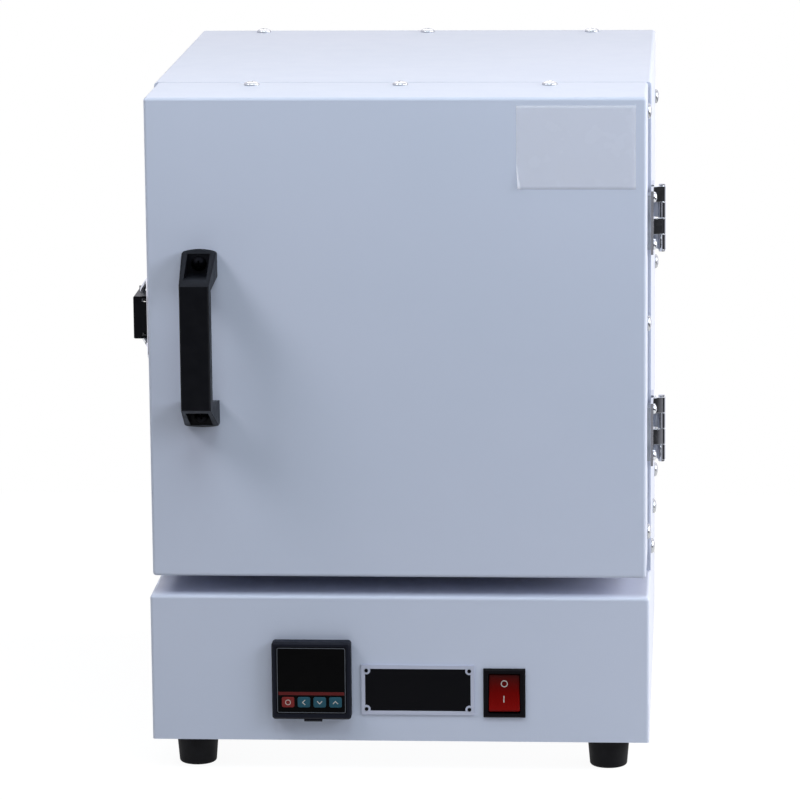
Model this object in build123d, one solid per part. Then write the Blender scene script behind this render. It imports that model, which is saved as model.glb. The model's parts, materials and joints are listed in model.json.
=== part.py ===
from build123d import *
import math
import os

# A bench-top burnout furnace: a firebrick chamber in a folded sheet case, on a control box
# with rubber feet, closed by a brick-filled door on two butt hinges and held by a toggle latch.
# Everything is in millimetres. X runs to the right as seen from the front, Y runs from the
# front to the back, and Z is up. The pieces are drawn with x = 0 in the middle of the cabinet,
# y = 0 on the front of the door and z = 0 on the bench. At the end they are all moved, so that
# the origin is on the bench, in the middle of the box that encloses the furnace.

# Sheet metal
sheet = 1.2
bend = 2.0
sheet_gap = 0.1
over = 1.0

# Cabinet
cabinet_width = 302.0
depth = 347.0
foot_height = 20.0
control_height = 90.0
body_height = 303.0
seam_y = 72.0
seam_gap = 1.5
door_side_step = 2.0
door_lift = 12.0
frame_flange = 20.0
rear_flange = 18.0
floor_flange = 25.0
base_flange = 15.0
control_rear_flange = 12.0

# Chamber and its lining
chamber_width = 160.0
chamber_height = 150.0
brick = 25.0
side_board_thick = 30.0
top_board_thick = 40.0
rear_board_thick = 30.0
rear_air = 37.6

# Heating coils, in keyhole grooves under the faces of the bricks
run_count = 4
run_pitch = 32.0
run_end_margin = 8.0
coil_r = 3.5
groove_r = 4.0
groove_slot = 2.6
coil_sink = 4.6
lead_r = 2.0
lead_hole_gap = 0.5
terminal_r = 5.0
terminal_length = 12.0
lead_tail = 2.0
terminal_gap = 0.1

# Honeycomb pad
pad_width = 122.0
pad_thick = 10.0
pad_cell = 8.0
pad_wall = 2.0
pad_front_gap = 22.0
pad_rear_gap = 26.0

# Thermocouple and vent
probe_r = 4.0
probe_reach = 25.0
probe_drop = 30.0
probe_gap = 0.2
probe_head_r = 13.0
probe_head_length = 16.0
probe_seat = 8.0
vent_x = 45.0
vent_drop = 32.0
vent_r = 12.5
vent_bore_r = 10.0
vent_stub = 14.0
vent_gap = 0.4
vent_flange_r = 25.0
vent_flange_thick = 1.5
vent_screw_ring = 19.0

# Rear panel slots
slot_length = 26.0
slot_width = 4.0
slot_pitch = 11.0
slot_count = 9
slot_rows = (58.0, 262.0)
control_slot_rise = 45.0
control_slot_x = -55.0
base_slot_count = 7
base_slot_y = (90.0, 255.0)

# Case screws
screw_head_r = 4.7
screw_head_h = 2.5
screw_r = 2.0
screw_length = 7.0
screw_gap = 0.1
recess_width = 1.1
recess_length = 4.6
recess_depth = 1.5
top_row_x = 109.0
back_row_inset = 9.0
side_column_drop = (43.0, 154.0, 265.0)
side_row_rise = 10.0
side_row_y = 113.0
door_row_x = 90.0
door_row_inset = 12.0
door_column_inset = 16.0
panel_screw_drop = 15.0

# Feet
foot_top_r = 13.0
foot_bottom_r = 11.3
foot_x = 126.0
foot_inset = 24.0
foot_bore_r = 5.6
foot_bore_depth = 9.0
foot_screw_r = 2.5
foot_head_r = 4.6
foot_head_h = 3.2
nut_r = 4.4
nut_h = 3.6

# Door
brick_side_air = 9.0
plug_width = 150.0
plug_height = 140.0
plug_reach = 10.0
plug_gap = 1.0
plug_edge = 2.0
gasket_width = 12.0
gasket_inset = 3.0
gasket_gap = 0.3

# Handle
handle_inset = 32.0
handle_length = 108.4
handle_rise = 0.65
handle_reach = 35.0
handle_slant = 17.0
handle_leg = 16.4
handle_gap_slant = 4.2
grip_thick = 8.5
grip_width = 17.8
handle_base_width = 21.0
handle_crown = 1.7
handle_corner = 2.0
grip_edge = 1.5
pocket_width = 13.5
pocket_floor = 4.0
pocket_wall = 2.2
handle_screw_inset = 8.2
handle_nut_air = 7.0

# Hinges
hinge_stand = 6.6
hinge_pitch = 130.3
hinge_rise = 3.65
knuckle_r = 2.4
hinge_pin_r = 1.25
hinge_pin_gap = 0.05
hinge_pin_head_r = 2.0
hinge_pin_head_h = 0.8
knuckle_count = 4
knuckle_gap = 0.3
leaf_height = 39.0
leaf_thick = 1.6
leaf_start = 4.0
leaf_length = 18.0
leaf_screw_z = 14.5
leaf_screw_y = 13.0
spacer_margin = 3.0

# Round-head screws of the hinges and the latch
round_head_r = 3.2
round_head_h = 2.2
round_screw_r = 1.6
round_screw_length = 7.0

# Latch, out from the side of the body and back from the seam
latch_drop = 1.5
latch_pivot_out = 8.0
latch_pivot_back = 15.0
bail_pivot_out = 12.8
bail_pivot_back = 27.0
bail_hook_out = 4.1
bail_hook_front = 12.0
bail_wire_r = 1.7
bail_arm_out = 9.2
bail_arm_z = 21.0
bail_shoulder = 2.0
bail_corner = 4.0
bail_hole_gap = 0.1
lever_half = 13.2
lever_cheek = 1.6
lever_skin = 2.0
lever_out = 16.8
nose_thick = 1.6
nose_reach = 3.0
nose_gap = 0.2
lever_back = 50.0
lever_lip = 5.0
cheek_reach = 4.0
cheek_back = 34.0
lever_edge = 0.8
ear_z = 11.0
ear_thick = 1.2
ear_r = 3.4
latch_plate = 1.2
latch_plate_half = 11.0
latch_plate_front = 6.0
latch_plate_back = 44.0
latch_screw_z = 5.0
latch_screw_back = (24.0, 38.0)
latch_pin_r = 1.5
latch_pin_gap = 0.05
latch_pin_end = 0.5
keeper_front = 32.0
keeper_back = 6.0
keeper_half = 11.0
keeper_screw_front = 25.0
keeper_screw_z = 6.0
hook_half = 9.0
hook_back = 7.0
hook_thick = 1.2
hook_gap = 0.5

# Controller
controller_x = -53.0
controller_rise = 39.0
controller_size = 48.0
controller_stand = 8.0
controller_body = 44.4
controller_depth = 72.0
controller_edge = 2.0
controller_bevel = 1.2
cutout_gap = 0.3
window_width = 42.6
window_height = 41.5
window_thick = 0.9
window_rise = 0.45
window_gap = 0.1
window_corner = 1.5
key_width = 7.6
key_height = 6.4
key_pitch = 9.6
key_x = 0.2
key_drop = 13.1
key_corner = 1.2
key_proud = 0.6
key_depth = 3.0
key_gap = 0.2
key_edge = 0.4
key_travel = 0.5
clip_wall = 4.0
clip_depth = 10.0

# Rocker switch
switch_x = 63.5
switch_rise = 30.6
switch_width = 25.5
switch_height = 30.5
switch_flange = 2.0
switch_body_width = 21.6
switch_body_height = 27.6
switch_depth = 22.0
rocker_width = 18.6
rocker_r = 12.0
rocker_gap = 0.3
rocker_pivot = 2.5
rocker_front = 5.2
rocker_hollow = 1.2
rocker_back = 3.0
rocker_tilt = 8.5
blade_width = 6.3
blade_thick = 0.8
blade_length = 9.0
blade_z = 8.0

# Nameplate
plate_x = 11.1
plate_rise = 32.15
plate_width = 68.6
plate_height = 30.8
plate_thick = 1.0
plate_border = 2.3
plate_sink = 0.3
plate_boss_r = 2.4
rivet_x = 31.2
rivet_z = 12.0
rivet_r = 0.8
rivet_head_r = 1.15
rivet_head_h = 0.5
rivet_length = 3.4

# Power inlet, with its two fixing screws
inlet_x = 92.0
inlet_rise = 42.0
inlet_flange_width = 50.0
inlet_flange_height = 23.0
inlet_flange_thick = 3.0
inlet_corner = 5.0
inlet_body_width = 28.0
inlet_body_height = 20.5
inlet_body_depth = 24.0
inlet_wall = 1.8
inlet_well = 16.0
inlet_screw_x = 20.0
inlet_pin_x = 7.0
inlet_pin_z = 2.0
inlet_pin_width = 2.0
inlet_pin_height = 4.0
inlet_pin_reach = 12.0
inlet_pin_tail = 8.0
inlet_pin_gap = 0.05

# Relay on its heat sink, and the terminal block, on the floor of the control box
sink_x = -70.0
sink_y = 245.0
sink_width = 70.0
sink_length = 80.0
sink_base = 5.0
sink_fin_h = 22.0
sink_fin = 1.6
sink_fin_count = 9
relay_width = 44.0
relay_length = 58.0
relay_height = 23.0
relay_edge = 1.0
block_x = 20.0
block_y = 245.0
block_width = 22.0
block_length = 62.0
block_height = 20.0
block_ways = 4
block_pitch = 14.0
wire_hole_x = 40.0
wire_hole_r = 9.0
wire_hole_inset = 24.0

# Levels and planes worked out from the sizes above
half = cabinet_width / 2
inner_half = half - sheet - sheet_gap
control_z = foot_height
body_z = control_z + control_height
top_z = body_z + body_height
body_mid_z = body_z + body_height / 2
body_mid_y = (seam_y + depth) / 2
door_half = half - door_side_step
door_z = body_z + door_lift
door_mid_z = (door_z + top_z) / 2
door_depth = seam_y - seam_gap
panel_y = depth - sheet
chamber_z = body_mid_z - chamber_height / 2
lining_y = seam_y + sheet
rear_board_back = panel_y - rear_air
rear_brick_back = rear_board_back - rear_board_thick
chamber_back = rear_brick_back - brick
chamber_depth = chamber_back - lining_y
pad_depth = chamber_depth - pad_front_gap - pad_rear_gap
brick_half = chamber_width / 2 + brick
board_half = brick_half + side_board_thick
lining_low = chamber_z - brick
lining_high = chamber_z + chamber_height + brick
run_length = chamber_depth - 2 * run_end_margin - run_pitch
run_edge = run_pitch * (run_count - 1) / 2
probe_z = chamber_z + chamber_height - probe_drop
vent_z = chamber_z + chamber_height - vent_drop
hinge_x = half + hinge_stand
hinge_y = seam_y - seam_gap / 2
hinge_mid_z = body_mid_z + hinge_rise
hinge_z = (hinge_mid_z - hinge_pitch / 2, hinge_mid_z + hinge_pitch / 2)
handle_x = -door_half + handle_inset
handle_z = door_mid_z + handle_rise
latch_z = door_mid_z - latch_drop
nose_back = latch_pivot_back - ear_r - nose_gap
lever_front = nose_back - nose_thick
controller_z = control_z + controller_rise
switch_z = control_z + switch_rise
plate_z = control_z + plate_rise
inlet_z = control_z + inlet_rise
floor_z = control_z + sheet
plug_hole_width = plug_width + 2 * plug_gap
plug_hole_height = plug_height + 2 * plug_gap
knuckle_height = (leaf_height - (knuckle_count - 1) * knuckle_gap) / knuckle_count

# Which way a screw, hole or plate that is drawn pointing up is turned to face
facing = {
    "top": (0, 0, 0),
    "bottom": (180, 0, 0),
    "right": (0, 90, 0),
    "left": (0, -90, 0),
    "back": (-90, 0, 0),
    "front": (90, 0, 0),
}


def at(side, x, y, z):
    """Place on one side of the furnace, facing out of it."""
    return Location((x, y, z), facing[side])


def block(x0, x1, y0, y1, z0, z1):
    """Box between two opposite corners."""
    middle = Pos((x0 + x1) / 2, (y0 + y1) / 2, (z0 + z1) / 2)
    return middle * Box(x1 - x0, y1 - y0, z1 - z0)


def group(solids):
    """Separate solids kept together in one node."""
    return Compound(children=list(solids))


def drilled(part, places, radius, length):
    """The part with a hole through it at each place."""
    for place in places:
        part = part - place * Cylinder(radius, 2 * length)
    return part


def tube_z(x, y, z0, z1, radius):
    """Upright round bar between two heights."""
    return Pos(x, y, (z0 + z1) / 2) * Cylinder(radius, z1 - z0)


def bar_y(x, z, y0, y1, radius):
    """Round bar that runs from front to back."""
    return Pos(x, (y0 + y1) / 2, z) * Rot(90, 0, 0) * Cylinder(radius, y1 - y0)


def plate_y(x, y0, y1, z, width, height, corner):
    """Upright plate facing the front, with round corners."""
    outline = RectangleRounded(width, height, corner)
    return Location((x, y1, z), facing["front"]) * extrude(outline, y1 - y0)


def domed_screw(head_r, head_h, shank_r, length):
    """Screw with a domed head above z = 0, a cross recess and a plain shank below."""
    dome_r = (head_r**2 + head_h**2) / (2 * head_h)
    ball = Pos(0, 0, head_h - dome_r) * Sphere(dome_r)
    head = ball & Pos(0, 0, head_h / 2) * Cylinder(head_r, head_h)
    shank = Pos(0, 0, -length / 2) * Cylinder(shank_r, length)
    depth_of_cross = recess_depth * head_h / screw_head_h
    arm = recess_length * head_r / screw_head_r
    width = recess_width * head_r / screw_head_r
    for angle in (0, 90):
        cross = Box(arm, width, 2 * depth_of_cross)
        head = head - Pos(0, 0, head_h) * Rot(0, 0, angle) * cross
    return head + shank


def hexagon_nut(radius, height, bore_r):
    """Nut that sits on z = 0."""
    return extrude(RegularPolygon(radius, 6), height) - Cylinder(bore_r, 3 * height)


case_screw = domed_screw(screw_head_r, screw_head_h, screw_r, screw_length)
round_screw = domed_screw(round_head_r, round_head_h, round_screw_r, round_screw_length)
screw_hole_r = screw_r + screw_gap
round_hole_r = round_screw_r + screw_gap

# Where the screws of the case go
wrap_screw_places = [at("top", x, depth - back_row_inset, top_z) for x in (-top_row_x, 0, top_row_x)]
for side, x in (("left", -half), ("right", half)):
    for drop in side_column_drop:
        wrap_screw_places.append(at(side, x, depth - back_row_inset, top_z - drop))
    for step in (-side_row_y, 0, side_row_y):
        wrap_screw_places.append(at(side, x, body_mid_y + step, body_z + side_row_rise))
panel_screw_x = half - sheet - control_rear_flange / 2
panel_screw_places = [
    at("back", x, depth, z)
    for x in (-panel_screw_x, panel_screw_x)
    for z in (floor_z + base_flange / 2, body_z - panel_screw_drop)
]
vent_screw_places = [
    at("back", vent_x + x, depth + vent_flange_thick, vent_z)
    for x in (-vent_screw_ring, vent_screw_ring)
]
door_row_y = door_depth - door_row_inset
door_screw_places = []
for x in (-door_row_x, 0, door_row_x):
    door_screw_places.append(at("top", x, door_row_y, top_z))
    door_screw_places.append(at("bottom", x, door_row_y, door_z))
for z in (door_z + door_column_inset, door_mid_z, top_z - door_column_inset):
    door_screw_places.append(at("right", door_half, door_row_y, z))
    if z != door_mid_z:
        door_screw_places.append(at("left", -door_half, door_row_y, z))

# Where the round-head screws of the hinges and the latch go
body_leaf_places = []
door_leaf_places = []
for middle in hinge_z:
    for step in (-leaf_screw_z, leaf_screw_z):
        leaf_face = half + leaf_thick
        body_leaf_places.append(at("right", leaf_face, hinge_y + leaf_screw_y, middle + step))
        door_leaf_places.append(at("right", leaf_face, hinge_y - leaf_screw_y, middle + step))
latch_screw_places = [
    at("left", -half - latch_plate, seam_y + back, latch_z + z)
    for back in latch_screw_back
    for z in (-latch_screw_z, latch_screw_z)
]
keeper_screw_places = [
    at("left", -door_half - latch_plate, seam_y - keeper_screw_front, latch_z + z)
    for z in (-keeper_screw_z, keeper_screw_z)
]
foot_places = [
    (x, y) for x in (-foot_x, foot_x) for y in (foot_inset, depth - foot_inset)
]
handle_screw_rise = handle_length / 2 - handle_screw_inset
handle_screw_z = [handle_z - handle_screw_rise, handle_z + handle_screw_rise]
rivet_places = [
    at("front", plate_x + x, -plate_thick, plate_z + z)
    for x in (-rivet_x, rivet_x)
    for z in (-rivet_z, rivet_z)
]
inlet_screw_places = [
    at("back", inlet_x + x, depth + inlet_flange_thick, inlet_z)
    for x in (-inlet_screw_x, inlet_screw_x)
]
wire_holes = [at("top", x, depth - wire_hole_inset, body_z) for x in (-wire_hole_x, wire_hole_x)]
hole_length = 8.0


# The case


def rounded_wrap(x, y0, y1, z0, z1, radius):
    """Block with its two upper edges rounded."""
    solid = block(-x, x, y0, y1, z0, z1)
    return fillet(solid.edges().filter_by(Axis.Y).sort_by(Axis.Z)[-2:], radius)


def side_walls(outer, thick, y0, y1, z0, z1):
    """Left and right wall with their outer faces at one distance from the middle."""
    right = block(outer - thick, outer, y0, y1, z0, z1)
    return right + mirror(right, about=Plane.YZ)


def body_wrap():
    """Top and both sides of the body, folded from one sheet."""
    outer = rounded_wrap(half, seam_y, depth, body_z, top_z, bend)
    inner = rounded_wrap(
        half - sheet, seam_y - over, depth + over, body_z - over, top_z - sheet, bend - sheet
    )
    wrap = drilled(outer - inner, wrap_screw_places, screw_hole_r, hole_length)
    wrap = drilled(wrap, body_leaf_places, round_hole_r, hole_length)
    return drilled(wrap, latch_screw_places, round_hole_r, hole_length)


def flanged_plate(y0, y1, flange_y0, flange_y1):
    """Upright plate inside the wrap with flanges along its top and sides."""
    high = top_z - sheet - sheet_gap
    low = body_z + floor_flange + over
    plate = block(-inner_half, inner_half, y0, y1, body_z, high)
    plate = plate + block(-inner_half, inner_half, flange_y0, flange_y1, high - sheet, high)
    plate = plate + side_walls(inner_half, sheet, flange_y0, flange_y1, low, high)
    corners = plate.edges().filter_by(Axis.Y).filter_by(lambda edge: edge.center().Z > high - over)
    outer_corners = [edge for edge in corners if abs(edge.center().X) > inner_half - sheet / 2]
    return fillet(outer_corners, bend - sheet)


def front_frame():
    """Plate round the chamber's mouth, which the door closes against."""
    frame = flanged_plate(seam_y, seam_y + sheet, seam_y, seam_y + frame_flange)
    mouth = Pos(0, seam_y, body_mid_z) * Box(chamber_width, 4 * sheet, chamber_height)
    return drilled(frame - mouth, body_leaf_places, round_hole_r, hole_length)


def slot_row(x, z, count, side, y):
    """Cutters for a row of upright slots through a rear panel."""
    first = x - slot_pitch * (count - 1) / 2
    slot = extrude(SlotOverall(slot_length, slot_width, rotation=90), 2 * hole_length)
    shift = Pos(0, 0, -hole_length)
    return [at(side, first + index * slot_pitch, y, z) * shift * slot for index in range(count)]


def rear_panel():
    """Back of the body, with cooling slots and the hole of the vent tube."""
    panel = flanged_plate(panel_y, depth, depth - rear_flange, depth)
    for drop in slot_rows:
        for cutter in slot_row(0, top_z - drop, slot_count, "back", depth):
            panel = panel - cutter
    panel = panel - bar_y(vent_x, vent_z, panel_y - over, depth + over, vent_r + vent_gap)
    panel = drilled(panel, vent_screw_places, screw_hole_r, hole_length)
    return drilled(panel, wrap_screw_places, screw_hole_r, hole_length)


def mid_plate():
    """Floor of the body, folded up at both sides."""
    y0 = seam_y + sheet + sheet_gap
    y1 = panel_y - sheet_gap
    plate = block(-inner_half, inner_half, y0, y1, body_z, body_z + sheet)
    plate = plate + side_walls(inner_half, sheet, y0, y1, body_z, body_z + floor_flange)
    plate = drilled(plate, wire_holes, wire_hole_r, hole_length)
    return drilled(plate, wrap_screw_places, screw_hole_r, hole_length)


def control_solid(x, y0, y1, z0, z1, radius):
    """Block with its front, top and front side edges rounded."""
    solid = block(-x, x, y0, y1, z0, z1)
    upper = solid.edges().filter_by(Axis.Y).sort_by(Axis.Z)[-2:]
    upright = solid.edges().filter_by(Axis.Z).sort_by(Axis.Y)[:2]
    across = solid.edges().filter_by(Axis.X).filter_by(lambda edge: edge.center().Z > z1 - over)
    return fillet(upper + upright + across.sort_by(Axis.Y)[:1], radius)


def control_box_shell():
    """Front, top and sides of the control box, with two flanges at the back."""
    shell = control_solid(half, 0, depth, control_z, body_z, bend)
    shell = shell - control_solid(
        half - sheet, sheet, depth + over, control_z - over, body_z - sheet, bend - sheet
    )
    flange_y1 = panel_y - sheet_gap
    shell = shell + side_walls(
        half - sheet, control_rear_flange, flange_y1 - sheet, flange_y1,
        floor_z + base_flange, body_z - sheet,
    )
    cut = controller_body + 2 * cutout_gap
    shell = shell - Pos(controller_x, 0, controller_z) * Box(cut, 2 * hole_length, cut)
    cut_width = switch_body_width + 2 * cutout_gap
    cut_height = switch_body_height + 2 * cutout_gap
    shell = shell - Pos(switch_x, 0, switch_z) * Box(cut_width, 2 * hole_length, cut_height)
    shell = drilled(shell, rivet_places, rivet_r + screw_gap, hole_length)
    shell = drilled(shell, panel_screw_places[1::2], screw_hole_r, hole_length)
    return drilled(shell, wire_holes, wire_hole_r, hole_length)


def control_rear_panel():
    """Back of the control box, with slots and the cut-out of the power inlet."""
    high = body_z - sheet - sheet_gap
    panel = rounded_wrap(inner_half, panel_y, depth, floor_z, high, bend - sheet)
    cut_width = inlet_body_width + 2 * cutout_gap
    cut_height = inlet_body_height + 2 * cutout_gap
    panel = panel - Pos(inlet_x, depth, inlet_z) * Box(cut_width, 2 * hole_length, cut_height)
    for cutter in slot_row(control_slot_x, control_z + control_slot_rise, slot_count, "back", depth):
        panel = panel - cutter
    panel = drilled(panel, inlet_screw_places, round_hole_r, hole_length)
    return drilled(panel, panel_screw_places, screw_hole_r, hole_length)


def front_corner(edge):
    """Whether an upright edge is one of the two outer ones at the front of the control box."""
    middle = edge.center()
    return middle.Y < sheet + over and abs(middle.X) > inner_half - sheet / 2


def base_plate():
    """Bottom of the control box, folded up at its sides and at the back."""
    y0 = sheet + sheet_gap
    y1 = panel_y - sheet_gap
    rim_z = floor_z + base_flange - sheet_gap
    plate = block(-inner_half, inner_half, y0, y1, control_z, floor_z)
    plate = plate + side_walls(inner_half, sheet, y0, y1, control_z, rim_z)
    plate = fillet(plate.edges().filter_by(Axis.Z).filter_by(front_corner), bend - sheet)
    plate = plate + block(-inner_half, inner_half, y1 - sheet, y1, control_z, rim_z)
    for y in base_slot_y:
        for cutter in slot_row(0, control_z, base_slot_count, "top", y):
            plate = plate - cutter
    feet = [at("bottom", x, y, control_z) for x, y in foot_places]
    plate = drilled(plate, feet, foot_screw_r + screw_gap, hole_length)
    return drilled(plate, panel_screw_places[0::2], screw_hole_r, hole_length)


def rubber_feet():
    """Four tapered feet, each with a sunk hole for its screw."""
    feet = []
    for x, y in foot_places:
        foot = Pos(x, y, foot_height / 2) * Cone(foot_bottom_r, foot_top_r, foot_height)
        foot = foot - tube_z(x, y, -over, foot_bore_depth, foot_bore_r)
        foot = foot - tube_z(x, y, 0, foot_height + over, foot_screw_r + screw_gap)
        feet.append(foot)
    return group(feet)


def foot_screws():
    """Screws and nuts of the feet."""
    length = foot_height - foot_bore_depth + sheet + nut_h + lead_tail
    screw = domed_screw(foot_head_r, foot_head_h, foot_screw_r, length)
    nut = hexagon_nut(nut_r, nut_h, foot_screw_r + screw_gap)
    solids = []
    for x, y in foot_places:
        solids.append(at("bottom", x, y, foot_bore_depth) * screw)
        solids.append(Pos(x, y, floor_z) * nut)
    return group(solids)


def case_screws():
    """Screws of the body, of the panel behind the controls and of the vent."""
    places = wrap_screw_places + panel_screw_places + vent_screw_places
    return group([place * case_screw for place in places])


# The lining


def rear_holes(part):
    """The part with the holes that the coil leads, the thermocouple and the vent pass through."""
    for x, z in lead_places:
        part = part - bar_y(x, z, chamber_back - over, rear_board_back + over, lead_r + lead_hole_gap)
    part = part - bar_y(0, probe_z, chamber_back - over, rear_board_back + over, probe_r + probe_gap)
    return part - bar_y(vent_x, vent_z, chamber_back - over, rear_board_back + over, vent_r + vent_gap)


def bottom_board():
    """Insulation under the chamber, on the floor of the body."""
    return block(-board_half, board_half, lining_y + sheet_gap, rear_board_back, body_z + sheet, lining_low)


def top_board():
    """Insulation over the chamber."""
    high = lining_high + top_board_thick
    return block(-board_half, board_half, lining_y, rear_board_back, lining_high, high)


def side_boards():
    """Insulation left and right of the chamber."""
    left = block(-board_half, -brick_half, lining_y, rear_brick_back, lining_low, lining_high)
    right = block(brick_half, board_half, lining_y, rear_brick_back, lining_low, lining_high)
    return group([left, right])


def rear_board():
    """Insulation behind the chamber."""
    board = block(-board_half, board_half, rear_brick_back, rear_board_back, lining_low, lining_high)
    return rear_holes(board)


def rear_brick():
    """Back wall of the chamber."""
    wall = block(-brick_half, brick_half, chamber_back, rear_brick_back, lining_low, lining_high)
    return rear_holes(wall)


def roof_brick():
    """Roof of the chamber."""
    low = chamber_z + chamber_height
    return block(-brick_half, brick_half, lining_y, chamber_back, low, lining_high)


# The coils and their grooves are drawn with the brick's face at z = 0 and the runs along Y
face_depth = chamber_depth / 2
floor_face = Location((0, lining_y + face_depth, chamber_z), (0, 0, 0))
left_face = Location((-chamber_width / 2, lining_y + face_depth, body_mid_z), (0, 90, 0))
right_face = Location((chamber_width / 2, lining_y + face_depth, body_mid_z), (0, -90, 0))
lead_places = [(x, chamber_z - coil_sink) for x in (-run_edge, run_edge)]
for x in (-chamber_width / 2 - coil_sink, chamber_width / 2 + coil_sink):
    lead_places += [(x, body_mid_z - run_edge), (x, body_mid_z + run_edge)]


def half_turns(ring):
    """Copies of half a ring at the ends of the runs, first at the front, then at the back."""
    turns = []
    for index in range(run_count - 1):
        end = -1 if index % 2 == 0 else 1
        edges = sorted((0, end * run_pitch))
        side = block(-run_pitch, run_pitch, edges[0], edges[1], -run_pitch, run_pitch)
        place = Pos((index + 0.5) * run_pitch - run_edge, end * run_length / 2, 0)
        turns.append(place * (ring & side))
    return turns


def winding(radius):
    """Tube that winds to and fro under the face of a brick."""
    solids = half_turns(Pos(0, 0, -coil_sink) * Torus(run_pitch / 2, radius))
    for index in range(run_count):
        x = index * run_pitch - run_edge
        solids.append(bar_y(x, -coil_sink, -run_length / 2, run_length / 2, radius))
    return solids


def coil(place):
    """One heating coil, drawn as its outer tube, with two straight leads to the back."""
    wire = winding(coil_r)
    tail = rear_board_back + terminal_length + lead_tail - lining_y - face_depth
    for x in (-run_edge, run_edge):
        wire.append(bar_y(x, -coil_sink, run_length / 2, tail, lead_r))
    return place * (wire[0] + wire[1:])


def groove_cutter(place):
    """Keyhole groove that holds a coil and is open to the chamber."""
    cutters = winding(groove_r)
    rise = coil_sink + over
    outer = Cylinder(run_pitch / 2 + groove_slot, rise)
    ring = Pos(0, 0, over - rise / 2) * (outer - Cylinder(run_pitch / 2 - groove_slot, rise))
    cutters += half_turns(ring)
    for index in range(run_count):
        x = index * run_pitch - run_edge
        outer_run = index in (0, run_count - 1)
        y1 = face_depth + over if outer_run else run_length / 2
        cutters.append(block(x - groove_slot, x + groove_slot, -run_length / 2, y1, -coil_sink, over))
        if outer_run:
            cutters.append(bar_y(x, -coil_sink, run_length / 2, y1, groove_r))
    return place * (cutters[0] + cutters[1:])


def hearth_brick():
    """Floor of the chamber, with the grooves of the floor coil."""
    floor = block(-brick_half, brick_half, lining_y, chamber_back, lining_low, chamber_z)
    return floor - groove_cutter(floor_face)


def heater_bricks():
    """Left and right walls of the chamber, with the grooves of their coils."""
    z1 = chamber_z + chamber_height
    left = block(-brick_half, -chamber_width / 2, lining_y, chamber_back, chamber_z, z1)
    right = block(chamber_width / 2, brick_half, lining_y, chamber_back, chamber_z, z1)
    return group([left - groove_cutter(left_face), right - groove_cutter(right_face)])


def coil_terminals():
    """Brass terminals on the ends of the coil leads."""
    solids = []
    y1 = rear_board_back + terminal_length
    for x, z in lead_places:
        outer = bar_y(x, z, rear_board_back, y1, terminal_r)
        bore = bar_y(x, z, rear_board_back - over, y1 + over, lead_r + terminal_gap)
        solids.append(outer - bore)
    return group(solids)


def honeycomb_pad():
    """Ceramic pad with square cells, which keeps crumbs of the mould off the floor coil."""
    pitch = pad_cell + pad_wall
    cells_x = int((pad_width - pad_wall) / pitch)
    cells_y = int((pad_depth - pad_wall) / pitch)
    outline = Rectangle(pad_width, pad_depth)
    outline = outline - GridLocations(pitch, pitch, cells_x, cells_y) * Rectangle(pad_cell, pad_cell)
    middle_y = lining_y + pad_front_gap + pad_depth / 2
    return Pos(0, middle_y, chamber_z) * extrude(outline, pad_thick)


def thermocouple_sheath():
    """Closed ceramic tube that reaches into the chamber from the back."""
    y0 = chamber_back - probe_reach
    tube = bar_y(0, probe_z, y0, rear_board_back + probe_seat, probe_r)
    return fillet(tube.edges().sort_by(Axis.Y)[0], probe_r - over)


def thermocouple_head():
    """Ceramic head of the thermocouple, with its two terminals."""
    y1 = rear_board_back + probe_head_length
    head = bar_y(0, probe_z, rear_board_back, y1, probe_head_r)
    seat_y = rear_board_back + probe_seat
    head = head - bar_y(0, probe_z, rear_board_back - over, seat_y, probe_r + probe_gap)
    for x in (-probe_head_r / 2, probe_head_r / 2):
        head = head + bar_y(x, probe_z, y1, y1 + lead_tail, lead_r)
    return head


def vent_tube():
    """Fume vent from the chamber's back wall out through the rear panel, with its flange."""
    outer = bar_y(vent_x, vent_z, chamber_back, depth + vent_stub, vent_r)
    outer = outer + bar_y(vent_x, vent_z, depth, depth + vent_flange_thick, vent_flange_r)
    tube = outer - bar_y(vent_x, vent_z, chamber_back - over, depth + vent_stub + over, vent_bore_r)
    return drilled(tube, vent_screw_places, screw_hole_r, hole_length)


# The controls


def key_places():
    """Middles of the controller's four keys."""
    x = controller_x + key_x
    z = controller_z - key_drop
    return [(x + (index - 1.5) * key_pitch, z) for index in range(4)]


def controller_housing():
    """Front bezel and body of the temperature controller."""
    half_size = controller_size / 2
    bezel = block(
        controller_x - half_size, controller_x + half_size, -controller_stand, 0,
        controller_z - half_size, controller_z + half_size,
    )
    bezel = fillet(bezel.edges().filter_by(Axis.Y), controller_edge)
    bezel = chamfer(bezel.faces().sort_by(Axis.Y)[0].edges(), controller_bevel)
    half_body = controller_body / 2
    body = block(
        controller_x - half_body, controller_x + half_body, 0, controller_depth,
        controller_z - half_body, controller_z + half_body,
    )
    front = -controller_stand
    recess = plate_y(
        controller_x, front - over, front + window_thick + window_gap, controller_z + window_rise,
        window_width + 2 * window_gap, window_height + 2 * window_gap, window_corner,
    )
    shell = bezel + body - recess
    key_well = key_depth + key_travel + key_gap
    for x, z in key_places():
        shell = shell - key_opening(x, z, front - over, front + key_well)
    return shell


def key_opening(x, z, y0, y1):
    """Cutter for the opening of one key."""
    return plate_y(
        x, y0, y1, z, key_width + 2 * key_gap, key_height + 2 * key_gap, key_corner + key_gap
    )


def controller_window():
    """Dark front plate of the controller, with openings for the keys."""
    front = -controller_stand
    window = plate_y(
        controller_x, front, front + window_thick, controller_z + window_rise,
        window_width, window_height, window_corner,
    )
    for x, z in key_places():
        window = window - key_opening(x, z, front - over, front + over)
    return window


def key(index):
    """One key of the controller, a little proud of the window."""
    x, z = key_places()[index]
    front = -controller_stand - key_proud
    cap = plate_y(x, front, front + key_depth, z, key_width, key_height, key_corner)
    return fillet(cap.faces().sort_by(Axis.Y)[0].edges(), key_edge)


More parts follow.
